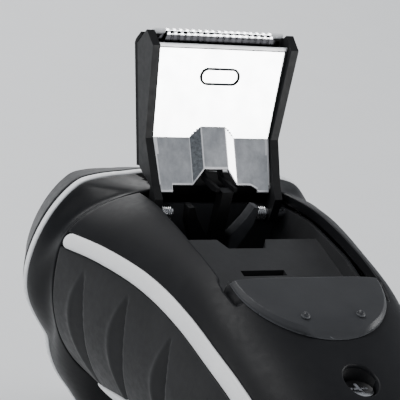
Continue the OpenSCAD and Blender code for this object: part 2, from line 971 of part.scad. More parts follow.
module spindle_gear_1() { spindle_gear(0); }
module spindle_gear_2() { spindle_gear(1); }
module spindle_gear_3() { spindle_gear(2); }

// ---------- head ----------

module head_collar() {
    color([0.36, 0.37, 0.39])
    placed()
    resize([0, 0, 0])
    difference() {
        skin([for (y = [ring_y0, 11.5, 9.5, 7.5, 6, 4.8, 3.8, seam_y]) collar_ring(y, 0)]);
        intersection() {
            skin([for (y = [ring_y0, 11.5, 9.5, 7.5, 6, 4.8, 3.8, seam_y, seam_y - 1]) collar_ring(y, -wall)]);
            box(-60, 60, 0, 11.3, -90, 20);
        }
        intersection() {
            skin([for (y = [ring_y0 + 1, 12.4]) lobe_ring(y, -wall)]);
            box(-60, 60, 12.5, 20, -90, 20);
        }
        for (k = [0 : 2])
            cutter_place(k)
            y_bar(2.3, 5, 20);
    }
}

module trim_ring() {
    color([0.9, 0.9, 0.9])
    placed()
    difference() {
        y_prism(lobe_outline(0.3), ring_y0, ring_y1);
        y_prism(lobe_outline(-2.4), ring_y0 - 1, ring_y1 + 1);
    }
}

module head_frame() {
    color([0.13, 0.14, 0.15])
    placed()
    resize([0, 0, 0])
    difference() {
        skin([lobe_ring(head_y1, -5.25), lobe_ring(26.2, -4.9), lobe_ring(25.6, -4.6), lobe_ring(24, -3.95),
              lobe_ring(22, -3), lobe_ring(19.5, -1.8), lobe_ring(17, -0.65), lobe_ring(head_y0, 0)]);
        skin([lobe_ring(24.4, -6), lobe_ring(21, -4.5), lobe_ring(head_y0 - 0.5, -wall)]);
        for (k = [0 : 2])
            cutter_place(k)
            y_bar(cap_r + 0.4, 20, 30);
    }
}

module cutter_retainer() {
    top_y = cap_flange_y - cap_float - 0.4;   // leaves the caps room to float inwards
    color([0.75, 0.76, 0.76])
    placed()
    difference() {
        y_prism(lobe_outline(-3.6), 17.4, top_y);
        for (k = [0 : 2])
            cutter_place(k)
            y_bar(11.6, 16, 20);
    }
}

module cutter_cap(k) {
    color([0.85, 0.86, 0.88])
    placed()
    cutter_place(k)
    difference() {
        rotate([-90, 0, 0])
        rotate_extrude()
        polygon([[0, 27.8], [5.4, 27.8], [6.2, 29], [12.2, 29], [cap_r, 28.2],
                 [cap_r, cap_flange_y + 0.8], [cap_r + 1, cap_flange_y + 0.8], [cap_r + 1, cap_flange_y],
                 [cap_r - 0.6, cap_flange_y], [cap_r - 0.6, 27.9], [12, 28.4], [6.4, 28.4], [5.8, 27.2],
                 [0, 27.2]]);
        for (a = [0 : 12 : 348])
            rotate([0, a, 0])
            box(-0.3, 0.3, 28.2, 29.2, 6.8, 11.8);
    }
}

module inner_cutter(k) {
    color([0.7, 0.72, 0.74])
    placed()
    cutter_place(k)
    difference() {
        union() {
            y_bar(3.4, 20.9, 25);
            y_bar(11.6, 24.9, 25.7);
            for (a = [0 : 40 : 320])
                rotate([0, a, 0])
                box(-0.5, 0.5, 25.6, 28.1, 7.4, 11.4);
        }
        y_bar(2.3, 20, 24.5);
    }
}

module cutter_cap_1() { cutter_cap(0); }
module cutter_cap_2() { cutter_cap(1); }
module cutter_cap_3() { cutter_cap(2); }
module inner_cutter_1() { inner_cutter(0); }
module inner_cutter_2() { inner_cutter(1); }
module inner_cutter_3() { inner_cutter(2); }

// ---------- drawing ----------

back_shell();
front_shell();
left_grip();
right_grip();
left_upper_trim();
right_upper_trim();
left_lower_trim();
right_lower_trim();
head_collar();
trim_ring();
end_cap();
charging_socket();
socket_contacts();
trimmer_well();
foot_pad();
back_screw();
end_screws();
gear_plate();
motor();
motor_bracket();
battery_cells();
circuit_board();
button_switch();
button_ring();
charge_light();
hinge_pins();
hinge_springs();
lever_pin();
trimmer_frame();
trimmer_cover();
trimmer_plate();
comb_blade();
arm_pin();
blade_spring();
cutting_blade();
trimmer_arm();
drive_lever();
release_slider();
slider_spring();
power_button();
head_frame();
cutter_retainer();
cutter_cap_1();
cutter_cap_2();
cutter_cap_3();
inner_cutter_1();
inner_cutter_2();
inner_cutter_3();
spindle_gear_1();
spindle_gear_2();
spindle_gear_3();
motor_gear();
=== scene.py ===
import json
import math

import bmesh
import bpy
import numpy as np
from mathutils import Matrix, Vector


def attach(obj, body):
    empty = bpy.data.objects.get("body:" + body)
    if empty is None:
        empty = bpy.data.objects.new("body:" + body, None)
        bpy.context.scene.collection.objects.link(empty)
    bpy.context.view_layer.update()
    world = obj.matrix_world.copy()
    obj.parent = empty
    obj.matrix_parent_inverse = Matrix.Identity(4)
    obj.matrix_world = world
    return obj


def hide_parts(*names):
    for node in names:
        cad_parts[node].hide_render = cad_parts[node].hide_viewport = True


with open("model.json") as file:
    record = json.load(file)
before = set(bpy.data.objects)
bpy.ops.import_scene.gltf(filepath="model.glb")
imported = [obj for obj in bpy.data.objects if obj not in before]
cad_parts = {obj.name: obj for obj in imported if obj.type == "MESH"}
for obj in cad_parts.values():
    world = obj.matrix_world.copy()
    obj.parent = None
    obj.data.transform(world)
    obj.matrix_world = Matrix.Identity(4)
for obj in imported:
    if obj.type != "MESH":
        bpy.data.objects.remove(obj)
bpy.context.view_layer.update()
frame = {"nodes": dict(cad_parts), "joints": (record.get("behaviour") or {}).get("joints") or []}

NODES = frame["nodes"]

# ------------ places and sizes, in millimetres
# Shapes are drawn about the trimmer's hinge zone, as in the CAD source, and moved into the frame by ORIGIN.
MM = 0.001
HINGE_Y, HINGE_Z = 1.5, -3.0
FLIP = next(j for j in frame["joints"] if j["name"] == "trimmer_flip")
ORIGIN = np.array(FLIP["pos_m"]) - np.array([0, HINGE_Y, HINGE_Z]) * MM

SEAM_Y = 3.0
TAIL_Y = -112.0
END_Y = -124.0
RING_Y0, RING_Y1 = 13.2, 15.0
HEAD_Y0, HEAD_Y1 = 15.3, 26.5
HEAD_Z = -28.0
LOBE_TIP, LOBE_VALLEY = 38.6, 30.9
CUTTER_SPREAD = 19.0
CUTTER_R = 13.2
WELL_WIDTH = [(6, 18.4), (0, 18.4), (-14, 19.3), (-26, 19.3), (-39.5, 18.9)]
WELL_END = -39.5
# the tilted seat of the slider, and how far the skin may rise above it
SEAT_Y, SEAT_Z = -40.0, -1.0
SEAT_TILT = math.radians(9.5)
SEAT_SLOPE = math.tan(SEAT_TILT)
SEAT_CAP = 2.2
SLIDER_R = 18.0
SLIDER_TOP, SLIDER_LOW = 3.8, 0.3
# the steel face: lower edge (y, z), lean and length of its two parts, half widths at edge, fold and top
LOW_EDGE = (2.69, 3.21)
LOW_LEAN, TOP_LEAN = math.radians(35), math.radians(9.2)
LOW_LEN, TOP_LEN = 10.8, 21.2
FACE_W = (14.2, 14.93, 16.5)
FOLD = (LOW_EDGE[0] + LOW_LEN * math.sin(LOW_LEAN), LOW_EDGE[1] + LOW_LEN * math.cos(LOW_LEAN))
SCREW_Y = -67.8
STRIP_HALF = 1.8
# gap between two pieces, and the radius that their edges are rounded to
GAP = 0.16
EDGE = 0.4
# where the handle's skins start and stop
SKIN_HEAD = SEAM_Y - 0.1 - EDGE
SKIN_TAIL = TAIL_Y + 0.05 + EDGE
SCREW_HOLE_R = 4.2
BUTTON_Y, BUTTON_HOLE_R = -42.0, 7.35
LIGHT_Y, LIGHT_HOLE_R = -56.0, 1.7
SOCKET_Z, SOCKET_HOLE_R = -43.0, 4.4
END_SCREW_X, END_SCREW_HOLE_R = 11.0, 2.4
TEETH = 17
SIDE_WORD = {-1: "left", 1: "right"}
# quarter turn in four steps, for rounded edges
QUARTER_TURN = [math.radians(a) for a in (22.5, 45, 67.5, 90)]

HALF_W = [(3, 35.3), (-10, 33), (-25, 30.5), (-40, 28.3), (-60, 25.5), (-80, 24), (-100, 24.6),
          (-112, 25), (-126, 25)]
TOP = [(3, 2.8), (-10, 5.4), (-25, 5.8), (-38, 4), (-48, 0.4), (-57, -2.8), (-68, -6.5), (-85, -13),
       (-100, -17), (-112, -19.5), (-126, -22)]
MID = [(3, -15), (-25, -18), (-60, -24), (-90, -34), (-112, -41), (-126, -43)]
BOTTOM = [(3, -50), (-25, -49), (-40, -47), (-55, -47), (-70, -49), (-85, -53), (-100, -59),
          (-112, -64), (-126, -65)]
TOP_POWER = [(3, 2.5), (-25, 2.6), (-40, 3), (-50, 3.3), (-60, 3.1), (-75, 2.7), (-112, 2.4), (-126, 2.4)]
LOW_POWER = [(3, 2.2), (-25, 2.15), (-60, 2), (-112, 2.6), (-126, 2.6)]
UPPER_STRIP = [(3, -9.9), (-10, -7.5), (-25, -6.3), (-40, -7.2), (-55, -10.6), (-70, -15), (-85, -20),
               (-100, -24.5), (-112, -27.5), (-126, -29.5)]
LOWER_STRIP = [(3, -45.5), (-7, -42.5), (-20, -38), (-35, -34.5), (-55, -34), (-75, -37.5), (-95, -44),
               (-112, -50.5), (-126, -53)]

# head outline: (minus the angle from its top in degrees, share of the way from valley to tip radius)
HEAD_SHAPE = [(0, -0.117), (-15, -0.018), (-29, 0.299), (-35, 0.526), (-40.4, 0.766), (-45.5, 0.974),
              (-50, 1.02), (-55, 1.02), (-60, 1), (-70, 0.922), (-80, 0.818), (-85, 0.74), (-90, 0.636),
              (-95, 0.494), (-100, 0.325), (-105, 0.169), (-110, 0.039), (-113.6, -0.006), (-117, 0.032),
              (-122, 0.091), (-132, 0.188), (-140, 0.26), (-145, 0.351), (-152, 0.532), (-160, 0.766),
              (-170, 0.948), (-180, 1.006), (-190, 0.948)]


def curve(y, knots):
    """Smooth value at y of a list of (y, value) points with falling y."""
    k = np.array(knots, float)
    n = len(k)
    a = np.maximum(np.arange(n) - 1, 0)
    b = np.minimum(np.arange(n) + 1, n - 1)
    slope = (k[b, 1] - k[a, 1]) / (k[b, 0] - k[a, 0])
    y = np.asarray(y, float)
    i = np.clip(np.searchsorted(-k[:, 0], -y, side="left") - 1, 0, n - 2)
    h = k[i + 1, 0] - k[i, 0]
    t = (y - k[i, 0]) / h
    return ((2 * t**3 - 3 * t**2 + 1) * k[i, 1] + (t**3 - 2 * t**2 + t) * h * slope[i]
            + (3 * t**2 - 2 * t**3) * k[i + 1, 1] + (t**3 - t**2) * h * slope[i + 1])


def section(y, up):
    """Middle height, half width, half height and power of the handle's oval at y, above or below."""
    mid = curve(y, MID)
    half_h = np.where(up, curve(y, TOP) - mid, mid - curve(y, BOTTOM))
    power = np.where(up, curve(y, TOP_POWER), curve(y, LOW_POWER))
    return mid, curve(y, HALF_W), half_h, power


def handle_point(y, ang, grow=0.0):
    """Point on the handle's skin at length y and polar angle ang (radians, 90 degrees is the back)."""
    y, ang = np.broadcast_arrays(np.asarray(y, float), np.asarray(ang, float))
    mid, a, b, n = section(y, np.sin(ang) >= 0)
    r = (np.abs(np.cos(ang) / (a + grow)) ** n + np.abs(np.sin(ang) / (b + grow)) ** n) ** (-1 / n)
    return np.stack([r * np.cos(ang), y, mid + r * np.sin(ang)], -1)


def angle_at_height(y, z):
    """Polar angle on the right side where the skin is at height z."""
    mid, a, b, n = section(y, z >= curve(y, MID))
    v = np.clip(np.abs(z - mid) / b, 0, 1)
    return np.arctan2(z - mid, a * (1 - v**n) ** (1 / n))


def skin_height(x, y, top=True):
    """Height of the skin above or below the point (x, y)."""
    mid, a, b, n = section(y, top)
    rise = b * np.clip(1 - np.abs(x / a) ** n, 0, 1) ** (1 / n)
    return mid + rise if top else mid - rise


def angle_step(y, ang, width):
    """Change of angle that moves a point on the skin by width at angle ang."""
    d = 1e-3
    speed = np.linalg.norm(handle_point(y, ang + d) - handle_point(y, ang - d), axis=-1) / (2 * d)
    return width / speed


def lobe_point(ang, grow=0.0):
    """Point (x, z) on the head's three-lobed outline."""
    from_top = np.abs((np.degrees(ang) + 90) % 360 - 180)
    r = LOBE_VALLEY + (LOBE_TIP - LOBE_VALLEY) * curve(-from_top, HEAD_SHAPE) + grow
    return np.stack([r * np.cos(ang), HEAD_Z + r * np.sin(ang)], -1)


# ------------ mesh helpers


def in_mm(co):
    """A mesh point in the millimetres that the shapes are drawn in."""
    return (np.array(co) - ORIGIN) / MM


def in_scene(name, data):
    """New object in the scene."""
    obj = bpy.data.objects.new(name, data)
    bpy.context.scene.collection.objects.link(obj)
    return obj


def add_object(name, bm, material):
    """Makes an object of a mesh drawn in millimetres."""
    bmesh.ops.recalc_face_normals(bm, faces=bm.faces)
    mesh = bpy.data.meshes.new(name)
    bm.to_mesh(mesh)
    bm.free()
    co = np.empty(len(mesh.vertices) * 3)
    mesh.vertices.foreach_get("co", co)
    co = co.reshape(-1, 3) * MM + ORIGIN
    mesh.vertices.foreach_set("co", co.ravel())
    mesh.polygons.foreach_set("use_smooth", [True] * len(mesh.polygons))
    mesh.update()
    mesh.materials.append(material)
    return in_scene(name, mesh)


def circle(n):
    """n evenly spaced angles round a circle."""
    return np.linspace(0, 2 * math.pi, n + 1)[:-1]


def bridge(bm, rings):
    """Bands of faces between matching closed rings that follow each other."""
    for a, b in zip(rings, rings[1:]):
        for i in range(len(a)):
            j = (i + 1) % len(a)
            bm.faces.new((a[i], a[j], b[j], b[i]))


def swept(name, sections, material, closed=False):
    """Solid through matching rings of points. It ends in flat faces, or runs round to its first ring."""
    bm = bmesh.new()
    rings = [[bm.verts.new(p) for p in ring] for ring in sections]
    bridge(bm, rings + rings[:1] if closed else rings)
    if not closed:
        bm.faces.new(rings[0])
        bm.faces.new(rings[-1][::-1])
    return add_object(name, bm, material)


def boundary_loops(bm):
    """Closed loops of edges that have one face, as lists of vertices."""
    nexts = {}
    for e in bm.edges:
        if len(e.link_faces) == 1:
            for a, b in (e.verts, reversed(e.verts)):
                nexts.setdefault(a, []).append(b)
    loops = []
    seen = set()
    for start in nexts:
        loop = []
        here = None if start in seen else start
        while here is not None:
            loop.append(here)
            seen.add(here)
            here = next((v for v in nexts[here] if v not in seen), None)
        if loop:
            loops.append(loop)
    return loops


def round_hole(bm, centre, radius, half, project):
    """Cuts a square of cells out of a sheet and fills it up to a round hole at centre (x, y)."""
    steps = 5
    cx, cy = centre
    gone = []
    for f in bm.faces:
        c = f.calc_center_median()
        if abs(c.x - cx) < half and abs(c.y - cy) < half and abs(c.z - project(c.x, c.y)) < 3:
            gone.append(f)
    before = {v for loop in boundary_loops(bm) for v in loop}
    bmesh.ops.delete(bm, geom=gone, context="FACES")
    loop = next(lp for lp in boundary_loops(bm) if lp[0] not in before
                and all(abs(v.co.x - cx) < half * 2 and abs(v.co.y - cy) < half * 2 for v in lp))
    rings = [loop]
    for s in range(1, steps + 1):
        t = s / steps
        ring = []
        for v in loop:
            dx, dy = v.co.x - cx, v.co.y - cy
            length = math.hypot(dx, dy)
            x = cx + dx * (1 - t) + dx / length * radius * t
            y = cy + dy * (1 - t) + dy / length * radius * t
            ring.append(bm.verts.new((x, y, float(project(x, y)))))
        rings.append(ring)
    bridge(bm, rings)


def thicken(bm, outward, thick, edge):
    """Turns an open sheet into a closed wall with rounded rims. outward is a rough direction."""
    sharpest = 0.62
    bmesh.ops.recalc_face_normals(bm, faces=bm.faces)
    face = max(bm.faces, key=lambda f: f.calc_area())
    if callable(outward):
        outward = outward(face.calc_center_median())
    if face.normal.dot(Vector(outward)) < 0:
        bmesh.ops.reverse_faces(bm, faces=bm.faces)
    bm.normal_update()
    loops = boundary_loops(bm)
    sheet = list(bm.verts)
    sheet_faces = list(bm.faces)
    normal = {v: v.normal.copy() for v in sheet}
    inner = {v: bm.verts.new(v.co - normal[v] * thick) for v in sheet}
    for loop in loops:
        n = len(loop)
        out = []
        for i, v in enumerate(loop):
            total = Vector((0, 0, 0))
            for w in (loop[i - 1], loop[(i + 1) % n]):
                e = bm.edges.get((v, w))
                if e is None:
                    continue
                f = next(iter(e.link_faces))
                along = (w.co - v.co).normalized()
                away = (v.co + w.co) / 2 - f.calc_center_median()
                away -= along * away.dot(along)
                away -= normal[v] * away.dot(normal[v])
                total += away.normalized()
            total -= normal[v] * total.dot(normal[v])
            out.append(total.normalized() / max(total.length / 2, sharpest))
        rings = [loop]
        for a in QUARTER_TURN:
            s, drop = math.sin(a), 1 - math.cos(a)
            rings.append([bm.verts.new(v.co + o * edge * s - normal[v] * edge * drop)
                          for v, o in zip(loop, out)])
        for v, o in zip(loop, out):
            inner[v].co = v.co + o * edge - normal[v] * thick
        bridge(bm, rings + [[inner[v] for v in loop]])
    for f in sheet_faces:
        bm.faces.new([inner[v] for v in reversed(f.verts)])


def sheet_piece(name, points, material, outward, thick, edge=EDGE, keep=None, wrap=False, holes=()):
    """Closed wall from a grid of points on its outer side. keep says which cells are there."""
    rows, cols = points.shape[:2]
    if keep is None:
        keep = np.ones((rows - 1, cols if wrap else cols - 1), bool)
    cells = [(i, j, (j + 1) % cols) for i, j in np.argwhere(keep)]
    used = np.zeros((rows, cols), bool)
    for i, j, k in cells:
        used[i, j] = used[i + 1, j] = used[i, k] = used[i + 1, k] = True
    bm = bmesh.new()
    verts = [[bm.verts.new(points[i, j]) if used[i, j] else None for j in range(cols)] for i in range(rows)]
    for i, j, k in cells:
        bm.faces.new((verts[i][j], verts[i + 1][j], verts[i + 1][k], verts[i][k]))
    for hole in holes:
        round_hole(bm, *hole)
    thicken(bm, outward, thick, edge)
    return add_object(name, bm, material)


def lathe(name, profile, material, centre, axis="z", steps=64):
    """Turns a closed outline of (radius, height) points about an axis through centre."""
    bm = bmesh.new()
    rings = []
    for r, h in profile:
        ring = []
        for a in circle(steps):
            x, y, z = r * math.cos(a), r * math.sin(a), h
            if axis == "x":
                x, y, z = z, x, y
            ring.append(bm.verts.new(np.array([x, y, z]) + centre))
        rings.append(ring)
    bridge(bm, rings + rings[:1])
    bmesh.ops.remove_doubles(bm, verts=bm.verts, dist=1e-4)
    bmesh.ops.dissolve_degenerate(bm, edges=bm.edges, dist=1e-5)
    return add_object(name, bm, material)


def soften(obj, width, angle=35):
    """Rounds the hard edges of a piece or CAD node."""
    mod = obj.modifiers.new("soften", "BEVEL")
    mod.width = width * MM
    mod.segments = 2
    mod.limit_method = "ANGLE"
    mod.angle_limit = math.radians(angle)
    mod.harden_normals = True
    obj.data.polygons.foreach_set("use_smooth", [True] * len(obj.data.polygons))
    return obj


# ------------ materials


# heights of relief, in metres
GRAIN_RELIEF = 0.00004
LINE_RELIEF = 0.00005
WAVE_RELIEF = 0.0002


def feed(tree, node, inputs):
    """Gives each named socket of a node its value, or a link from another node's output."""
    for key, value in inputs.items():
        if isinstance(value, bpy.types.NodeSocket):
            tree.links.new(value, node.inputs[key])
        else:
            node.inputs[key].default_value = value


def add_node(tree, kind, inputs=None, **settings):
    node = tree.nodes.new("ShaderNode" + kind)
    for key, value in settings.items():
        setattr(node, key, value)
    feed(tree, node, inputs or {})
    return node


def new_material(name):
    mat = bpy.data.materials.new(name)
    mat.use_nodes = True
    return mat, mat.node_tree, mat.node_tree.nodes["Principled BSDF"]


def object_coords(tree, scale=(1, 1, 1)):
    spot = add_node(tree, "TexCoord").outputs["Object"]
    return add_node(tree, "Mapping", {"Scale": scale, "Vector": spot}).outputs["Vector"]


def noise(tree, vector, scale, detail=4.0, roughness=0.55):
    inputs = {"Scale": scale, "Detail": detail, "Roughness": roughness, "Vector": vector}
    return add_node(tree, "TexNoise", inputs).outputs["Fac"]


def spread(tree, value, low, high, from_low=0.3, from_high=0.7):
    """Maps the range from_low to from_high onto the range low to high."""
    inputs = {"From Min": from_low, "From Max": from_high, "To Min": low, "To Max": high, "Value": value}
    return add_node(tree, "MapRange", inputs).outputs["Result"]


def two_tones(tree, factor, dark, light):
    """Blend from dark to light. Each is a colour, or another pattern's output."""
    a, b = [tone if isinstance(tone, bpy.types.NodeSocket) else (*tone, 1) for tone in (dark, light)]
    return add_node(tree, "Mix", {"Factor": factor, "A": a, "B": b}, data_type="RGBA").outputs["Result"]


def bump(tree, shader, height, strength, distance):
    """Adds relief on top of the relief that the shader already has."""
    inputs = {"Strength": strength, "Distance": distance, "Height": height}
    last = shader.inputs["Normal"].links
    if last:
        inputs["Normal"] = last[0].from_socket
    tree.links.new(add_node(tree, "Bump", inputs).outputs["Normal"], shader.inputs["Normal"])


def edge_wear_and_highlight(tree):
    """0 on flat skin, rising to 1 on outward edges: marks edge wear together with a painted highlight along
    the edges.
    """
    return spread(tree, add_node(tree, "NewGeometry").outputs["Pointiness"], 0, 1, 0.53, 0.62)


def moulded_finish(tree, shader, colour, rough, grain, grain_scale, specular):
    """Colour, uneven gloss and spark-eroded grain."""
    vector = object_coords(tree)
    feed(tree, shader, {"Base Color": colour, "Roughness": spread(tree, noise(tree, vector, 700, 4), *rough),
                        "Specular IOR Level": specular})
    bump(tree, shader, noise(tree, vector, grain_scale, 3, 0.6), grain, GRAIN_RELIEF)


def plastic(name, dark, light, rough, grain=0.18, grain_scale=5200, wear_and_highlight=None, coat=0.0, specular=0.3):
    """Moulded plastic: grain, faint cloudiness, and outward edges lightened to the given edge tone, which
    stands for wear and is partly a painted highlight along the edges.
    """
    mat, tree, shader = new_material(name)
    vector = object_coords(tree)
    colour = two_tones(tree, spread(tree, noise(tree, vector, 90, 5), 0, 1), dark, light)
    # outward edges lightened: edge wear together with a painted edge highlight
    if wear_and_highlight:
        colour = two_tones(tree, edge_wear_and_highlight(tree), colour, wear_and_highlight)
    moulded_finish(tree, shader, colour, rough, grain, grain_scale, specular)
    feed(tree, shader, {"Coat Weight": coat, "Coat Roughness": 0.12})
    bump(tree, shader, noise(tree, vector, 260, 3), 0.04, WAVE_RELIEF)
    return mat


def side_sheen_plastic(name, edge_tone, side_sheen):
    """Black moulding whose flat side walls (facing the part's own X) are painted paler, a painted sheen for
    the light that falls on them.
    """
    mat, tree, shader = new_material(name)
    normal = add_node(tree, "TexCoord").outputs["Normal"]
    across = add_node(tree, "SeparateXYZ", {"Vector": normal}).outputs["X"]
    flat = add_node(tree, "Math", {0: across}, operation="ABSOLUTE").outputs["Value"]
    cloud = spread(tree, noise(tree, object_coords(tree), 120, 5), 0, 1)
    # painted sheen: the side walls facing X are paler, as where they catch the light
    sheen = two_tones(tree, cloud, side_sheen, tuple(1.5 * c for c in side_sheen))
    colour = two_tones(tree, spread(tree, flat, 0, 1, 0.9, 0.97), edge_tone, sheen)
    moulded_finish(tree, shader, colour, (0.4, 0.52), 0.25, 4200, 0.25)
    return mat


def lever_plastic(name):
    """Black moulding with a greyer right limb, a painted sheen where that limb catches the light."""
    mat, tree, shader = new_material(name)
    spot = add_node(tree, "TexCoord").outputs["Object"]
    across = add_node(tree, "SeparateXYZ", {"Vector": spot}).outputs["X"]
    limb = spread(tree, across, 0, 1, 2.8 * MM, 3.6 * MM)
    cloud = spread(tree, noise(tree, object_coords(tree), 160, 5), 0, 1)
    grey = two_tones(tree, cloud, (0.04, 0.041, 0.044), (0.075, 0.077, 0.082))
    # painted sheen: the right limb is greyer where it catches the light
    colour = two_tones(tree, limb, (0.003, 0.003, 0.0034), grey)
    moulded_finish(tree, shader, colour, (0.34, 0.46), 0.2, 4200, 0.2)
    return mat


def metal(name, dark, light, rough, lines=(1, 1, 1), line_scale=900, depth=0.1, mottle=0.0):
    """Steel with rolling or grinding lines that run along the axis given the smallest scale in lines."""
    mat, tree, shader = new_material(name)
    streak = noise(tree, object_coords(tree, lines), line_scale, 5, 0.7)
    patch = noise(tree, object_coords(tree), 220, 4)
    colour = two_tones(tree, spread(tree, streak, 0, 1), dark, light)
    feed(tree, shader, {"Base Color": colour, "Metallic": 1.0, "Roughness": spread(tree, patch, *rough)})
    bump(tree, shader, streak, depth, LINE_RELIEF)
    if mottle:
        bump(tree, shader, noise(tree, object_coords(tree), 1500, 4), mottle, WAVE_RELIEF)
    return mat


BLACK_SATIN = plastic("black_satin_plastic", (0.006, 0.0062, 0.0072), (0.0095, 0.0098, 0.011), (0.4, 0.5),
                      0.2, wear_and_highlight=(0.026, 0.027, 0.03), specular=0.13)
BLACK_GLOSS = plastic("black_gloss_plastic", (0.004, 0.0042, 0.005), (0.006, 0.0064, 0.0075), (0.34, 0.42),
                      0.08, coat=0.02, wear_and_highlight=(0.026, 0.027, 0.03), specular=0.11)
BLACK_MATTE = plastic("black_matte_plastic", (0.003, 0.003, 0.0034), (0.005, 0.005, 0.0058), (0.55, 0.66),
                      0.3, specular=0.12)
# darker, barely reflecting black painted as shade where the collar lies under the trimmer
SHADE_BLACK = plastic("painted_shade_black_plastic", (0.002, 0.002, 0.0024), (0.0034, 0.0034, 0.0038), (0.75, 0.85),
                     0.3, specular=0.03)
LEVER_BLACK = lever_plastic("lever_black_plastic")
WELL_GREY = plastic("well_grey_plastic", (0.0225, 0.023, 0.0243), (0.03, 0.0305, 0.032), (0.44, 0.56), 0.25,
                    wear_and_highlight=(0.05, 0.051, 0.055), specular=0.22)
# the slider's pale edge tone is mostly a painted highlight along its bevel, with a little wear
SLIDER_GREY = plastic("slider_grey_plastic", (0.026, 0.0268, 0.029), (0.033, 0.0342, 0.037), (0.36, 0.46),
                      0.22, wear_and_highlight=(0.13, 0.135, 0.145), specular=0.22)
FRAME_SIDES = side_sheen_plastic("trimmer_frame_plastic", (0.0035, 0.0035, 0.004), (0.010, 0.0103, 0.011))
RUBBER = plastic("grip_rubber", (0.0085, 0.0088, 0.0095), (0.0145, 0.0148, 0.016), (0.44, 0.56), 0.4,
                 grain_scale=3600, specular=0.24)
WHITE_SATIN = plastic("white_satin_plastic", (0.78, 0.785, 0.79), (0.86, 0.865, 0.87), (0.3, 0.4), 0.3,
                      grain_scale=2600)
RING_WHITE = plastic("ring_white_plastic", (0.80, 0.81, 0.82), (0.88, 0.89, 0.90), (0.22, 0.3), 0.1)
NYLON = plastic("natural_nylon", (0.66, 0.65, 0.6), (0.76, 0.75, 0.7), (0.35, 0.45), 0.15)
CELL_SLEEVE = plastic("cell_sleeve", (0.02, 0.12, 0.07), (0.03, 0.17, 0.1), (0.2, 0.28), 0.05)
BOARD_GREEN = plastic("board_green", (0.01, 0.09, 0.04), (0.02, 0.13, 0.06), (0.25, 0.4), 0.2)
LENS = plastic("light_lens", (0.08, 0.4, 0.12), (0.12, 0.5, 0.16), (0.1, 0.15), 0.02, coat=0.4)
FACE_STEEL = metal("polished_face_steel", (0.86, 0.87, 0.88), (0.93, 0.935, 0.94), (0.13, 0.2), (1, 1, 0.05),
                   1400, 0.05)
# its coarse light and dark blotches are partly brushing and partly painted reflection
SATIN_STEEL = metal("satin_face_steel", (0.48, 0.49, 0.51), (0.78, 0.79, 0.81), (0.28, 0.38), (1, 1, 0.6),
                    330, 0.08, 0.1)
# dark steel for the hump's left facet: painted shade, with a mottled texture
MOTTLED_SHADE_STEEL = metal("mottled_painted_shade_steel", (0.12, 0.13, 0.14), (0.34, 0.36, 0.38), (0.35, 0.5),
                      line_scale=1500, depth=0.4, mottle=0.5)
BLADE_STEEL = metal("ground_blade_steel", (0.6, 0.61, 0.63), (0.8, 0.81, 0.83), (0.18, 0.3), (1, 0.06, 0.06),
                    1600, 0.15)
WIRE = metal("spring_wire", (0.7, 0.7, 0.71), (0.86, 0.86, 0.87), (0.16, 0.26), (0.1, 1, 1), 1500, 0.1)
# near-black steel: painted shade and dark reflection on the badge line and the line under the top bevel
SHADE_LINE_STEEL = metal("painted_shade_line_steel", (0.012, 0.012, 0.014), (0.03, 0.03, 0.032), (0.45, 0.55))
# bright rough steel for the plate's edges and creases: a painted highlight line
EDGE_HIGHLIGHT_STEEL = metal("painted_highlight_edge_steel", (0.88, 0.88, 0.9), (0.97, 0.97, 0.98), (0.42, 0.52))
GUARD_WHITE = plastic("guard_white_plastic", (0.6, 0.61, 0.62), (0.68, 0.69, 0.7), (0.3, 0.4), 0.15)
PIN_STEEL = metal("turned_steel", (0.5, 0.5, 0.52), (0.66, 0.66, 0.68), (0.22, 0.34), (0.2, 1, 1), 1600, 0.2)
CHROME = metal("plated_screw", (0.8, 0.8, 0.81), (0.9, 0.9, 0.91), (0.08, 0.16), (1, 1, 1), 1200, 0.12, 0.05)
BRASS = metal("contact_brass", (0.6, 0.42, 0.16), (0.75, 0.55, 0.24), (0.2, 0.3))

# ------------ handle skins


def rows_between(y0, y1, step):
    """Evenly spaced values from y0 to y1, about step apart."""
    count = max(2, int(abs(y1 - y0) / step) + 1)
    return np.linspace(y0, y1, count)


def well_half_width(y):
    """Half the width of the opening for the trimmer."""
    ys, widths = zip(*reversed(WELL_WIDTH))
    return np.interp(y, ys, widths)


def seat_plane(y):
    """Height of the plane that the slider moves in."""
    return SEAT_Z + (y - SEAT_Y) * SEAT_SLOPE


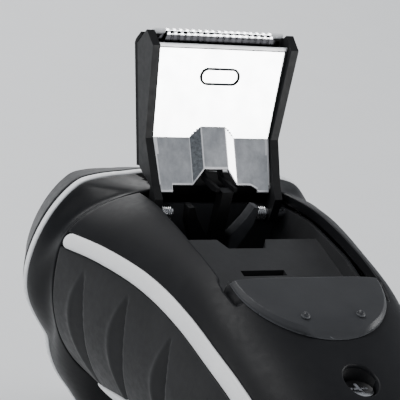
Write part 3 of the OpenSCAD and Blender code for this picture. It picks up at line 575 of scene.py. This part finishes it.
def build_back_shell():
    """Upper handle shell with the trimmer's opening, the slider's flat and the screw hole."""
    narrow_y, narrow_x = -61, 15
    pit_in, pit_out, pit_depth, pit_back, pit_x = 17.9, 19.5, 2.2, -46, 15
    wall_zone, lean = 0.7, 0.02
    inset = EDGE + GAP / 2
    ys = np.concatenate([rows_between(SKIN_HEAD, WELL_END + 1, 0.7),
                         [WELL_END, WELL_END - EDGE],
                         rows_between(WELL_END - EDGE - 0.4, -64, 0.4)[:-1],
                         rows_between(-64, SKIN_TAIL, 0.8)])
    side, middle = 24, 76
    points = np.empty((len(ys), 2 * side + middle + 1, 3))
    for i, y in enumerate(ys):
        strip = angle_at_height(y, curve(y, UPPER_STRIP))
        start = strip + angle_step(y, strip, STRIP_HALF + inset)
        x_edge = float(well_half_width(y)) + EDGE
        # runs inwards behind the slider, where the handle is narrower
        x_edge = float(np.interp(-y, [-SEAT_Y, -narrow_y], [x_edge, narrow_x]))
        end = math.atan2(skin_height(x_edge, y) - curve(y, MID), x_edge)
        angles = start + (end - start) * np.linspace(0, 1, side + 1)
        right = handle_point(y, angles)
        xs = np.linspace(x_edge, -x_edge, middle + 1)[1:-1]
        mid = np.stack([xs, np.full_like(xs, y), skin_height(xs, y)], -1)
        left = right[::-1] * [-1, 1, 1]
        points[i] = np.concatenate([right, mid, left])
    x, y, z = points[..., 0], points[..., 1], points[..., 2]
    # the crown is levelled under the slider
    along = np.clip((WELL_END + 0.2 - y) / 0.3, 0, 1)
    z += (np.minimum(z, seat_plane(y) + SEAT_CAP / math.cos(SEAT_TILT)) - z) * along
    # small dark pits beside the slider's corners
    reach = np.hypot(x, y - SEAT_Y)
    pit = np.clip((reach - pit_in) / 0.3, 0, 1) * np.clip((pit_out - reach) / 0.4, 0, 1)
    pit *= np.clip((y - pit_back) / 1.6, 0, 1) * np.clip((np.abs(x) - pit_x) / 0.5, 0, 1) * along
    z -= pit_depth * pit
    cells_y = (ys[:-1] + ys[1:]) / 2
    keep = np.ones((len(ys) - 1, points.shape[1] - 1), bool)
    keep[np.ix_(cells_y > WELL_END - EDGE, np.arange(side, side + middle))] = False
    hole = ((0.0, SCREW_Y), SCREW_HOLE_R, 5.6, skin_height)
    shell = sheet_piece("back_shell_skin", points, BLACK_SATIN, (0, 0, 1), 2.3, keep=keep, holes=[hole])
    # the opening's walls run straight down, so that the closed trimmer drops in
    for vert in shell.data.vertices:
        x, y, z = in_mm(vert.co)
        side_edge = well_half_width(y)
        if y <= WELL_END or abs(x) >= side_edge:
            continue
        if y > WELL_END + wall_zone and abs(x) > 10:
            x = math.copysign(side_edge + lean * (abs(x) - side_edge), x)
        elif y <= WELL_END + wall_zone:
            y = WELL_END + lean * (y - WELL_END)
        vert.co = np.array([x, y, z]) * MM + ORIGIN
    return shell


def build_screw_recess():
    """Round pocket whose rim follows the sloping skin, just under it."""
    floor, top, below_skin = -9.8, 0.0, 0.9
    profile = [(1.4, floor), (3.5, floor), (3.68, floor + 0.06), (3.75, floor + 0.2), (3.8, top), (4.6, top),
               (4.8, top - 0.3), (4.8, floor - 3.5), (1.4, floor - 3.5)]
    recess = lathe("screw_recess", profile, BLACK_MATTE, (0, SCREW_Y, 0))
    for v in recess.data.vertices:
        x, y, z = in_mm(v.co)
        if z > -1:
            v.co.z = ORIGIN[2] + (skin_height(x, y) - below_skin + z) * MM
    return recess


# each groove: tip (y, z) and its length down the grip
GROOVES = [((-7.3, -12.0), 30.0), ((-22.9, -9.9), 28.0), ((-39.5, -11.3), 25.0), ((-55.5, -16.5), 20.0)]
GROOVE_DEPTH = 1.5
# how far a groove's steep and shallow sides bow out, and how far it leans, at the usual length
GROOVE_BOW = 4.5
GROOVE_BACK = 1.3
GROOVE_LEAN = 2.8
GROOVE_LENGTH = 28


def groove_depth(y, z):
    """Depth of the curved grooves below the grip's skin, with a low lip at the steep side."""
    depth = np.zeros_like(y)
    for (y0, z0), length in GROOVES:
        t = (z0 - z) / length
        inside = (t > 0) & (t < 1)
        wave = np.sin(math.pi * np.clip(t, 0, 1))
        scale = length / GROOVE_LENGTH
        head = y0 + GROOVE_BOW * scale * wave - GROOVE_LEAN * t
        tail = y0 - GROOVE_BACK * scale * wave - GROOVE_LEAN * t
        u = (y - tail) / np.maximum(head - tail, 1e-6)
        rise = np.clip(u / 0.24, 0, 1)
        fall = np.clip((1 - u) / 0.76, 0, 1)
        shape = rise * rise * (3 - 2 * rise) * fall**1.4
        lip = 0.22 * np.exp(-((u - 1.02) / 0.16) ** 2)
        depth += np.where(inside, (GROOVE_DEPTH * shape * wave**0.8 - lip * wave), 0)
    return depth


def build_grip(side):
    """Rubber side panel between the two strips."""
    inset = EDGE + GAP
    ys = rows_between(SKIN_HEAD, SKIN_TAIL, 0.42)
    columns = np.linspace(0, 1, 92)
    points = np.empty((len(ys), len(columns), 3))
    for i, y in enumerate(ys):
        high = angle_at_height(y, curve(y, UPPER_STRIP))
        low = angle_at_height(y, curve(y, LOWER_STRIP))
        high -= angle_step(y, high, STRIP_HALF + inset)
        low += angle_step(y, low, STRIP_HALF + inset)
        points[i] = handle_point(y, high + (low - high) * columns)
    along = np.gradient(points, axis=0)
    across = np.gradient(points, axis=1)
    normal = np.cross(along, across)
    normal /= np.linalg.norm(normal, axis=-1, keepdims=True)
    normal *= np.sign(normal[..., :1])
    points -= normal * groove_depth(points[..., 1], points[..., 2])[..., None]
    points[..., 0] *= side
    return sheet_piece(SIDE_WORD[side] + "_grip_skin", points, RUBBER, (side, 0, 0), 2.0)


def build_front_shell():
    """Lower handle shell, with holes for the button and the charge light."""
    inset = EDGE + GAP / 2
    ys = rows_between(SKIN_HEAD, SKIN_TAIL, 0.9)
    columns = np.linspace(0, 1, 64)
    points = np.empty((len(ys), len(columns), 3))
    for i, y in enumerate(ys):
        low = angle_at_height(y, curve(y, LOWER_STRIP))
        low -= angle_step(y, low, STRIP_HALF + inset)
        points[i] = handle_point(y, low + (-math.pi - 2 * low) * columns)
    under = lambda px, py: skin_height(px, py, False)
    holes = [((0.0, BUTTON_Y), BUTTON_HOLE_R + EDGE, 9.6, under),
             ((0.0, LIGHT_Y), LIGHT_HOLE_R + EDGE, 3.4, under)]
    return sheet_piece("front_shell_skin", points, BLACK_SATIN, (0, 0, -1), 2.0, holes=holes)


def build_strip(name, knots, side, start):
    """Satin strip with a domed section and a round end at the head."""
    ys = np.concatenate([start - STRIP_HALF * (1 - np.cos(np.linspace(0.06, math.pi / 2, 12))),
                         rows_between(start - STRIP_HALF, TAIL_Y + 0.1, 0.9)[1:]])
    around = np.linspace(-1, 1, 17)
    dome_h, sunk = 0.62, 0.12
    rings = []
    for y in ys:
        reach = min(1.0, math.sqrt(max(0.0, 1 - max(0.0, (y - start + STRIP_HALF) / STRIP_HALF) ** 2)))
        centre = angle_at_height(y, curve(y, knots))
        half = angle_step(y, centre, STRIP_HALF * reach)
        top = handle_point(y, centre + around * half)
        out = handle_point(y, centre + around * half, 1.0) - top
        out /= np.linalg.norm(out, axis=-1, keepdims=True)
        dome = dome_h * np.sqrt(np.clip(1 - (np.abs(around) * 0.97) ** 2.6, 0, 1)) * reach - sunk
        rings.append(np.concatenate([top + out * dome[:, None], (top - out)[::-1]]) * [side, 1, 1])
    return swept(name, rings, WHITE_SATIN)


def collar_point(y, ang):
    """Point on the skin that leads from the handle's oval to the head's outline."""
    t = np.clip((y - SEAM_Y) / (RING_Y0 - SEAM_Y), 0, 1)
    s = np.sin(t * math.pi / 2)
    p = handle_point(SEAM_Y, ang)
    q = lobe_point(ang)
    return np.stack([p[..., 0] * (1 - s) + q[..., 0] * s, np.broadcast_to(y, ang.shape),
                     p[..., 2] * (1 - s) + q[..., 1] * s], -1)


def build_collar():
    ang = circle(240)
    ys = rows_between(SEAM_Y + 0.1 + EDGE, RING_Y0 - 0.05 - EDGE, 0.42)
    points = np.stack([collar_point(y, ang) for y in ys])
    outward = lambda c: (c.x, 0, c.z - HEAD_Z)
    collar = sheet_piece("head_collar_skin", points, BLACK_GLOSS, outward, 2.0, wrap=True)
    # painted shade: the collar under the trimmer gets a darker, barely reflecting black where it lies in
    # shadow
    shade_half_w, shade_low = 14.5, -2
    collar.data.materials.append(SHADE_BLACK)
    for poly in collar.data.polygons:
        x, y, z = in_mm(poly.center)
        if abs(x) < shade_half_w and z > shade_low:
            poly.material_index = 1
    return collar


def arc(cx, cy, r, a0, a1, n=5):
    """Points on an arc from angle a0 to a1, in degrees."""
    return [(cx + r * math.cos(math.radians(a)), cy + r * math.sin(math.radians(a)))
            for a in np.linspace(a0, a1, n)]


def head_ring(y, grow):
    """Ring of points at y, outside the head's outline by grow."""
    p = lobe_point(circle(288), grow)
    return np.stack([p[:, 0], np.full(len(p), y), p[:, 1]], -1)


def build_trim_ring():
    r = 0.5
    out = 0.25
    high, low, inside = RING_Y1 - 0.03, RING_Y0 + 0.03, -2.3
    profile = arc(out - r, high - r, r, 90, 0) + arc(out - r, low + r, r, 0, -90)
    profile += [(inside, low), (inside, high)]
    return swept("trim_ring_band", [head_ring(y, grow) for grow, y in profile], RING_WHITE, True)


def planar_cap(bm, outline, circles, y):
    """Fills a flat face at y between an outline and round holes. Returns each hole's ring of vertices."""
    edges = [bm.edges.get((outline[i - 1], outline[i])) or bm.edges.new((outline[i - 1], outline[i]))
             for i in range(len(outline))]
    rings = []
    for cx, cz, r in circles:
        ring = [bm.verts.new((cx + r * math.cos(a), y, cz + r * math.sin(a))) for a in circle(72)]
        edges += [bm.edges.new((ring[i - 1], ring[i])) for i in range(len(ring))]
        rings.append(ring)
    bmesh.ops.triangle_fill(bm, edges=edges, use_beauty=True)
    return rings


def cup(name, outer, inner, holes, face_y, floor_y, material):
    """A cup with round holes (x, z, radius) in its flat end. Its rings run from its mouth to that end."""
    lip = 0.3
    bm = bmesh.new()
    outer, inner = [[[bm.verts.new(p) for p in ring] for ring in wall] for wall in (outer, inner)]
    for rings in (outer, inner, [outer[0], inner[0]]):
        bridge(bm, rings)
    sign = 1 if face_y > floor_y else -1
    wide = planar_cap(bm, outer[-1], [(x, z, r + lip) for x, z, r in holes], face_y)
    low = planar_cap(bm, inner[-1], holes, floor_y)
    for (x, z, r), top, bottom in zip(holes, wide, low):
        rings = [top]
        for a in QUARTER_TURN:
            s, c = math.sin(a), math.cos(a)
            ring = []
            for v in top:
                d = Vector((v.co.x - x, 0, v.co.z - z)).normalized()
                p = Vector((x, face_y, z)) + d * (r + lip * (1 - s))
                p.y = face_y - sign * lip * (1 - c)
                ring.append(bm.verts.new(p))
            rings.append(ring)
        bridge(bm, rings + [bottom])
    return add_object(name, bm, material)


def cutter_centre(k):
    """Place (x, z) of a cutter on the head."""
    a = math.radians(120 * k)
    return -CUTTER_SPREAD * math.sin(a), HEAD_Z - CUTTER_SPREAD * math.cos(a)


def build_head_frame():
    """Black cup that holds the cutters. Its lists hold (y, growth) of each ring."""
    side = [(HEAD_Y0 + 0.15, -0.6), (HEAD_Y0 + 0.03, -0.32), (HEAD_Y0 + 0.15, -0.1), (17, -0.7)]
    side += [(y, -0.7 - 0.47 * (y - 17)) for y in np.linspace(18, 26.0, 9)]
    corner = [(26.28, -5.02), (26.44, -5.14), (HEAD_Y1, -5.3)]
    outer = [head_ring(y, g) for y, g in side + corner]
    inner = [head_ring(y, g) for y, g in [(HEAD_Y0 + 0.15, -2.0), (21, -4.5), (24.5, -5.95)]]
    holes = [(*cutter_centre(k), CUTTER_R + 0.4) for k in range(3)]
    return cup("head_frame_shell", outer, inner, holes, HEAD_Y1, 24.5, BLACK_GLOSS)


def build_end_cap():
    """Tail cap. Its lists hold (y, scale) of each ring."""
    ang = circle(192)

    def ring(y, shrink, grow=0.0):
        c = (curve(y, TOP) + curve(y, BOTTOM)) / 2
        p = handle_point(y, ang, grow)
        p[:, 0] *= shrink
        p[:, 2] = c + (p[:, 2] - c) * shrink
        return p

    rim = [(TAIL_Y - 0.2, 0.984), (TAIL_Y - 0.1, 0.992), (TAIL_Y - 0.3, 1.0)]
    sweep = [(-115, 0.997), (-117, 0.985), (-119, 0.962), (-120.5, 0.932), (-121.8, 0.892), (-122.8, 0.846),
             (-123.5, 0.79), (-123.9, 0.73), (END_Y, 0.66)]
    outer = [ring(y, s) for y, s in rim + sweep]
    lining = [(TAIL_Y - 0.2, 1.0), (-117, 0.95), (-120, 0.88), (END_Y + 2, 0.66)]
    inner = [ring(y, s, -2.0) for y, s in lining]
    holes = [(0.0, SOCKET_Z, SOCKET_HOLE_R)]
    holes += [(x, SOCKET_Z, END_SCREW_HOLE_R) for x in (END_SCREW_X, -END_SCREW_X)]
    return cup("end_cap_shell", outer, inner, holes, END_Y, END_Y + 2, BLACK_SATIN)


def add_grid_block(name, top, bottom, material):
    """Closed block between two matching grids of points."""
    rows, cols = top.shape[:2]
    bm = bmesh.new()
    high = [[bm.verts.new(p) for p in row] for row in top]
    low = [[bm.verts.new(p) for p in row] for row in bottom]
    for i in range(rows - 1):
        for j in range(cols - 1):
            bm.faces.new((high[i][j], high[i][j + 1], high[i + 1][j + 1], high[i + 1][j]))
            bm.faces.new((low[i][j], low[i + 1][j], low[i + 1][j + 1], low[i][j + 1]))
    round_edge = [(i, 0) for i in range(rows)] + [(rows - 1, j) for j in range(1, cols)]
    round_edge += [(i, cols - 1) for i in range(rows - 2, -1, -1)] + [(0, j) for j in range(cols - 2, 0, -1)]
    bridge(bm, [[grid[i][j] for i, j in round_edge] for grid in (high, low)])
    return add_object(name, bm, material)


def crisp(obj, angle=20):
    """Smooth shading that stays sharp across folds steeper than angle."""
    obj.data.set_sharp_from_angle(angle=math.radians(angle))
    return obj


def seat_frame(x, y, z):
    """From the slider's seat to the handle."""
    c, s = math.cos(SEAT_TILT), math.sin(SEAT_TILT)
    return np.stack(np.broadcast_arrays(x, SEAT_Y + y * c - z * s, SEAT_Z + y * s + z * c), -1)


def slider_underside(x, y):
    """Height above the seat plane that just clears the levelled skin (slider frame)."""
    low = np.full_like(x, SLIDER_LOW)
    for _ in range(4):
        spot = seat_frame(x, y, low)
        skin = skin_height(spot[..., 0], spot[..., 1])
        low = low + (skin - spot[..., 2]) * math.cos(SEAT_TILT)
        low = np.clip(low, SLIDER_LOW, SEAT_CAP)
    return low + 0.1


def build_slider():
    """D-shaped crowned cap with a narrow bevel round its edge and a tail that rolls into the body."""
    bevel_w, bevel_h = 0.85, 0.65
    front = -0.34
    ys = np.concatenate([[front, front - 0.06, front - 0.2], np.linspace(front - 0.4, -17.4, 96),
                         [-17.6, -17.75, -17.85]])
    # columns closer together towards the sides
    widest = math.pi / 2 * 0.93
    u = np.sin(np.linspace(-1, 1, 141) * widest) / math.sin(widest)
    y, u = np.meshgrid(ys, u, indexing="ij")
    radius = SLIDER_R - 0.06
    x = u * np.sqrt(radius**2 - y**2)
    reach = np.hypot(x, y)
    top = SLIDER_TOP - (0.55 + 0.5 * -y / reach.clip(1)) * (reach / 17) ** 4
    from_edge = np.minimum(radius - reach, front - y)
    top -= bevel_h * (1 - np.clip((radius - reach) / bevel_w, 0, 1))
    nose = np.clip(1 - from_edge / 0.22, 0, 1)
    top -= 0.2 * (1 - np.sqrt(1 - nose**2))
    drops = [(0, 0), (-10, -0.02), (-12, 0.08), (-14, 0.55), (-16, 1.6), (-17.4, 2.75),
             (-18.4, SLIDER_TOP - SLIDER_LOW)]
    roll = curve(y, [(back, SLIDER_TOP - drop) for back, drop in drops])
    blend = 0.6
    low = np.clip(0.5 + 0.5 * (roll - top) / blend, 0, 1)
    top = roll * (1 - low) + top * low - blend * low * (1 - low) * 0.5
    under = slider_underside(x, y)
    top = np.maximum(top, under + 0.06)
    body = add_grid_block("release_slider_body", seat_frame(x, y, top), seat_frame(x, y, under), SLIDER_GREY)
    return crisp(body, 26)


def build_slider_pip(side):
    """Small domed rivet on the slider."""
    dome = [(0.78 * math.sin(a), 0.62 * math.cos(a)) for a in np.linspace(0, math.pi / 2, 9)]
    skirt = [(0.95, -0.06), (0.95, -0.4), (0.0, -0.4)]
    centre = seat_frame(6.6 * side, -12.8, SLIDER_TOP - 0.14)
    return lathe("slider_pip_" + SIDE_WORD[side], dome + skirt, SLIDER_GREY, centre, "z", 40)


def face_frame(x, y, z, upper):
    """From a trimmer face (y into the trimmer, z up the face) to the handle."""
    lean, foot = (TOP_LEAN, FOLD) if upper else (LOW_LEAN, LOW_EDGE)
    c, s = math.cos(lean), math.sin(lean)
    return np.stack(np.broadcast_arrays(x, foot[0] + y * c + z * s, foot[1] - y * s + z * c), -1)


def on_face(point, upper):
    """Height up a trimmer face, and depth into it, of a point on the handle."""
    lean, foot = (TOP_LEAN, FOLD) if upper else (LOW_LEAN, LOW_EDGE)
    y, z = point[1:] - foot
    c, s = math.cos(lean), math.sin(lean)
    return y * s + z * c, y * c - z * s


def build_trimmer_plate():
    """Steel face: mirror upper part, brushed lower part with a raised middle and a cut-out, with painted
    shade and painted highlights on the middle's facets and along the edges.
    """
    rim = 0.13
    bulge, foot, crest, notch = 1.1, 5.7, 3.05, 3.4
    tab_in, tab_out, tab_low = 10.8, 13.8, -1.6
    half = [0, 0.8, 1.6, 2.4, crest - 0.14, crest - 0.05, crest + 0.05, crest + 0.18, 3.6, 4.2, 4.8, 5.3]
    half += [foot - 0.12, foot - 0.03, foot + 0.06, 6.3, 7.2, 8.2, 9.2, 10, tab_in + rim - 0.04, tab_in + rim,
             11.6, 12.6, 13.2, tab_out - rim, tab_out - rim + 0.04, FACE_W[0] - rim]
    xs = np.array([-h for h in half[:0:-1]] + half)

    def low_end(x):
        a = abs(x)
        if a < crest + 0.05:
            return notch + rim
        if a < foot:
            return rim + notch * (foot - a) / (foot - crest - 0.05)
        if tab_in + rim - 0.02 < a < tab_out - rim + 0.02:
            return tab_low + rim
        if x > 9.1 and a < tab_in + rim:
            return rim - 0.55 * (a - 9.1)
        return rim

    start = np.array([low_end(x) for x in xs])
    t = np.concatenate([[0, 0.01, 0.03], np.linspace(0.06, 1, 34)])
    hump = bulge * np.clip((foot - np.abs(xs)) / (foot - crest), 0, 1)
    hump = np.where(hump > bulge - 0.03, bulge, hump)
    spread_out = np.clip(np.abs(xs) - 6, 0, None) / (FACE_W[0] - 6) * np.sign(xs)
    rows = []
    for f in t:
        z = start + f * (LOW_LEN - start)
        x = xs + spread_out * (FACE_W[1] - FACE_W[0]) * np.clip(z / LOW_LEN, 0, 1)
        rows.append(face_frame(x, -hump, z, False))
    bend = LOW_LEAN - TOP_LEAN
    ups = np.concatenate([np.arange(0.08, 2.9, 0.08), np.linspace(3, TOP_LEN - 1.05, 24),
                          [TOP_LEN - 0.82, TOP_LEN - 0.5, TOP_LEN - rim]])
    push = np.array([-math.cos(LOW_LEAN), math.sin(LOW_LEAN)])
    for z in ups:
        x = xs + spread_out * (FACE_W[1] - FACE_W[0] + (FACE_W[2] - FACE_W[1]) * z / TOP_LEN)
        back = 0.08 * np.clip((z - (TOP_LEN - 1.0)) / 1.0, 0, 1)
        row = face_frame(x, 0 * x + back, z, True)
        lift = np.maximum(0, hump - math.sin(bend) * z)
        row[:, 1] += push[0] * lift
        row[:, 2] += push[1] * lift
        rows.append(row)
    points = np.stack(rows)
    plate = sheet_piece("trimmer_face_plate", points, FACE_STEEL, (0, -1, 0.2), 0.46, rim)
    for material in (SATIN_STEEL, MOTTLED_SHADE_STEEL, EDGE_HIGHLIGHT_STEEL, SHADE_LINE_STEEL):
        plate.data.materials.append(material)
    satin, shaded_facet, edge, groove = 1, 2, 3, 4
    foot_line, side_line, bevel, groove_low, fold_zone = 0.34, 0.2, 0.84, 1.04, 3.2
    for poly in plate.data.polygons:
        centre = in_mm(poly.center)
        across = abs(centre[0])
        low_up, low_in = on_face(centre, False)
        top_up, top_in = on_face(centre, True)
        if top_up < 0 or (top_in < -0.02 and top_up < fold_zone):
            poly.material_index = satin
            # painted reflection: the hump's left facet gets dark steel as painted shade, its right facet the
            # bright mirror steel as a painted highlight
            if crest + 0.1 < across < foot - 0.06 and low_in < -0.05:
                poly.material_index = shaded_facet if centre[0] < 0 else 0
            # painted highlight: bright lines along the cut edges, the sides and the hump's creases
            along_foot = low_up < low_end(centre[0]) + foot_line
            along_side = across > FACE_W[0] - rim - side_line
            along_crease = crest - 0.12 < across < crest + 0.16 or foot - 0.1 < across < foot + 0.04
            if along_foot or along_side or along_crease:
                poly.material_index = edge
        # painted highlight along the top bevel
        elif top_up > TOP_LEN - bevel:
            poly.material_index = edge
        # painted shade: a dark line just under the top bevel
        elif top_up > TOP_LEN - groove_low:
            poly.material_index = groove
    return crisp(plate, 14)


def build_badge():
    """Embossed oval line on the face, painted dark for the shade and dark reflection along it."""
    half, r, width, height, sunk, up_face = 3.05, 1.72, 0.26, 0.18, 0.15, 14
    rings = []
    for x_end, start in ((half, -math.pi / 2), (-half, math.pi / 2)):
        for a in np.linspace(start, start + math.pi, 33):
            b = circle(16)
            reach = r + width * np.cos(b)
            rings.append(face_frame(x_end + reach * math.cos(a), -height * np.sin(b) - sunk,
                                    up_face + reach * math.sin(a), True))
    return swept("trimmer_badge_line", rings, SHADE_LINE_STEEL, True)


def comb_outline(half_w, low, root, tip, pitch, tooth, count):
    """Comb outline (x, z) with round tooth tips and round roots."""
    points = [(-half_w, low), (half_w, low), (half_w, root)]
    for i in range(count):
        x = ((count - 1) / 2 - i) * pitch
        for a in np.linspace(0, math.pi, 9):
            points.append((x + tooth * math.cos(a), tip - tooth + tooth * math.sin(a)))
        if i < count - 1:
            gap = pitch / 2 - tooth
            for a in np.linspace(0, math.pi, 5)[1:-1]:
                points.append((x - tooth - gap + gap * math.cos(a), root + gap - gap * math.sin(a)))
    points.append((-half_w, root))
    return points


def tipped_steel(name, tip):
    """Ground steel, bright over the last half millimetre below tip as a painted highlight, and dark further
    down as painted shade.
    """
    mat, tree, shader = new_material(name)
    spot = add_node(tree, "TexCoord").outputs["Object"]
    up = np.array([0, math.sin(TOP_LEAN), math.cos(TOP_LEAN)])
    end = float(up @ (face_frame(0, 0, tip, True) * MM + ORIGIN))
    height = add_node(tree, "VectorMath", {0: spot, 1: up}, operation="DOT_PRODUCT").outputs["Value"]
    tips = spread(tree, height, 0, 1, end - 0.66 * MM, end - 0.46 * MM)
    grinding = noise(tree, object_coords(tree, (1, 0.06, 0.06)), 1600, 5, 0.7)
    bright = two_tones(tree, grinding, (0.75, 0.76, 0.78), (0.95, 0.95, 0.96))
    rough = spread(tree, noise(tree, object_coords(tree), 220, 4), 0.22, 0.32)
    # painted highlight on the teeth's tips over painted shade further down
    feed(tree, shader, {"Base Color": two_tones(tree, tips, (0.02, 0.02, 0.022), bright), "Metallic": 1.0,
                        "Roughness": rough})
    bump(tree, shader, grinding, 0.15, LINE_RELIEF)
    return mat


def build_comb(name, y0, y1, half_w, low, root, tip, tooth):
    """Toothed blade between the depths y0 and y1. tooth is half the width of a tooth."""
    pitch = 2 * (FACE_W[2] - 3.5) / (TEETH - 1)
    outline = comb_outline(half_w, low, root, tip, pitch, tooth, TEETH)
    bm = bmesh.new()
    front = [bm.verts.new(face_frame(x, y0, z, True)) for x, z in outline]
    back = [bm.verts.new(face_frame(x, y1, z, True)) for x, z in outline]
    bm.faces.new(front)
    bm.faces.new(list(reversed(back)))
    bridge(bm, [front, back])
    bmesh.ops.triangulate(bm, faces=[f for f in bm.faces if len(f.verts) > 4])
    return soften(add_object(name, bm, tipped_steel(name + "_steel", tip)), 0.1, 50)


def build_guard(side):
    """Round-ended bar that guards the end of the comb."""
    r, half = 0.65, 1.0
    profile = arc(0, -half, r, -90, 0, 9) + arc(0, half, r, 0, 90, 9)
    centre = face_frame(15.0 * side, 3.35, TOP_LEN + 2, True)
    return lathe("comb_guard_" + SIDE_WORD[side], profile, GUARD_WHITE, centre, "x", 32)


def build_hinge_spring(side):
    """Round wire wound about the hinge."""
    radius, wire, turns, pitch, inner_end, steps = 1.6, 0.19, 5, 0.48, 10.95, 40
    rings = []
    for i in range(turns * steps + 1):
        a = 2 * math.pi * i / steps
        b = circle(12)
        q = radius + wire * np.cos(b)
        x = inner_end + pitch * i / steps + wire * np.sin(b)
        rings.append(np.stack([side * x, HINGE_Y + q * math.cos(a), HINGE_Z + q * math.sin(a)], -1))
    return swept("hinge_spring_" + SIDE_WORD[side], rings, WIRE)


def place(obj, body, node=None):
    """Puts a piece on its body, with its finish, in the place of a CAD node if one is named."""
    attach(obj, body)
    if node:
        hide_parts(node)


place(build_back_shell(), "handle", "back_shell")
place(build_screw_recess(), "handle")
place(build_front_shell(), "handle", "front_shell")
for side, word in SIDE_WORD.items():
    place(build_grip(side), "handle", word + "_grip")
for side, word in SIDE_WORD.items():
    for level, knots, start in (("_upper", UPPER_STRIP, 2.6), ("_lower", LOWER_STRIP, -4.0)):
        strip = build_strip(word + level + "_strip", knots, side, start)
        place(strip, "handle", word + level + "_trim")
place(build_collar(), "handle", "head_collar")
place(build_trim_ring(), "handle", "trim_ring")
place(build_head_frame(), "head", "head_frame")
place(build_slider(), "slider", "release_slider")
place(build_trimmer_plate(), "trimmer", "trimmer_plate")
place(build_badge(), "trimmer")
place(build_comb("comb_teeth_back", y0=3.02, y1=3.58, half_w=15.8, low=11.5, root=TOP_LEN - 0.4,
                 tip=TOP_LEN + 2.66, tooth=0.4), "trimmer", "comb_blade")
place(build_comb("comb_teeth_front", y0=2.12, y1=2.58, half_w=14.2, low=13, root=TOP_LEN - 0.6,
                 tip=TOP_LEN + 2.06, tooth=0.36), "blade", "cutting_blade")
for side in SIDE_WORD:
    place(build_slider_pip(side), "slider")
    place(build_guard(side), "trimmer")
    place(build_hinge_spring(side), "handle", "hinge_springs")
place(build_end_cap(), "handle", "end_cap")

# ------------ CAD nodes that stay, with their finishes

KEPT = [
    (WELL_GREY, "trimmer_well"), (RUBBER, "foot_pad"), (BRASS, "socket_contacts"),
    (CHROME, "back_screw end_screws"), (BOARD_GREEN, "circuit_board"), (CELL_SLEEVE, "battery_cells"),
    (WHITE_SATIN, "button_ring"), (LENS, "charge_light"), (FRAME_SIDES, "trimmer_frame"),
    (LEVER_BLACK, "drive_lever"), (SLIDER_GREY, "power_button"), (WIRE, "blade_spring slider_spring"),
    (NYLON, "gear_plate motor_gear spindle_gear_1 spindle_gear_2 spindle_gear_3"),
    (PIN_STEEL, "motor hinge_pins lever_pin arm_pin inner_cutter_1 inner_cutter_2 inner_cutter_3"),
    (BLADE_STEEL, "cutter_cap_1 cutter_cap_2 cutter_cap_3"),
    (BLACK_MATTE, "charging_socket motor_bracket button_switch trimmer_cover trimmer_arm cutter_retainer"),
]
for material, nodes in KEPT:
    for node in nodes.split():
        mesh = NODES[node].data
        mesh.materials.clear()
        mesh.materials.append(material)
for node in ("trimmer_well", "trimmer_frame", "trimmer_cover", "drive_lever", "trimmer_arm", "foot_pad"):
    soften(NODES[node], 0.2)

# ------------ floor, light and camera


def emitter(name, spot, target, size, power):
    """Soft rectangular light at spot, aimed at target."""
    data = bpy.data.lights.new(name, "AREA")
    data.shape = "RECTANGLE"
    data.size, data.size_y = size
    data.energy = power
    obj = in_scene(name, data)
    obj.location = spot
    obj.rotation_euler = (Vector(target) - Vector(spot)).to_track_quat("-Z", "Y").to_euler()


def build_floor():
    bm = bmesh.new()
    bmesh.ops.create_grid(bm, x_segments=2, y_segments=2, size=3.0)
    mesh = bpy.data.meshes.new("studio_floor")
    bm.to_mesh(mesh)
    bm.free()
    mat, tree, shader = new_material("pale_floor")
    grain = noise(tree, object_coords(tree), 40, 4)
    colour = two_tones(tree, grain, (0.70, 0.71, 0.72), (0.74, 0.75, 0.76))
    feed(tree, shader, {"Base Color": colour, "Roughness": 0.6})
    mesh.materials.append(mat)
    in_scene("studio_floor", mesh)


build_floor()
world = bpy.data.worlds.new("studio")
world.use_nodes = True
feed(world.node_tree, world.node_tree.nodes["Background"], {"Color": (0.80, 0.84, 0.90, 1), "Strength": 0.4})
bpy.context.scene.world = world

# name, place and aim from the focus in metres, size, power
LIGHTS = [
    ("key_overhead", (-0.25, 0.25, 0.8), (0, 0, 0), (0.5, 0.4), 6),
    ("face_card", (0.42, -0.75, -0.02), (0, 0, 0.03), (0.45, 0.26), 5),
    ("right_card", (0.75, -0.1, 0.25), (0, 0, 0), (0.3, 0.4), 3),
    ("left_fill", (-0.8, 0.1, 0.35), (0, 0, 0), (0.25, 0.4), 2.5),
    ("rim_back", (0.1, 0.85, 0.3), (0, 0, 0), (0.8, 0.25), 3),
]
FOCUS = ORIGIN + np.array([0, -20, -20]) * MM
for name, spot, aim, size, power in LIGHTS:
    emitter(name, FOCUS + np.array(spot), FOCUS + np.array(aim), size, power)

# the camera's axes and its place, from the hinge zone
VIEW_RIGHT = Vector((0.878, -0.432, 0.206))
VIEW_BACK = Vector((-0.479, -0.794, 0.375)).normalized()
VIEW_RIGHT = (VIEW_RIGHT - VIEW_BACK * VIEW_RIGHT.dot(VIEW_BACK)).normalized()
VIEW_UP = VIEW_BACK.cross(VIEW_RIGHT)
VIEW_FROM = np.array([-219.0, -355.3, 168.6])

camera = in_scene("camera", bpy.data.cameras.new("camera"))
camera.data.lens = 181.5
camera.data.sensor_width = 36
camera.data.clip_start = 0.01
axes = Matrix((VIEW_RIGHT, VIEW_UP, VIEW_BACK)).transposed().to_4x4()
camera.matrix_world = Matrix.Translation(Vector(VIEW_FROM * MM + ORIGIN)) @ axes
bpy.context.scene.camera = camera
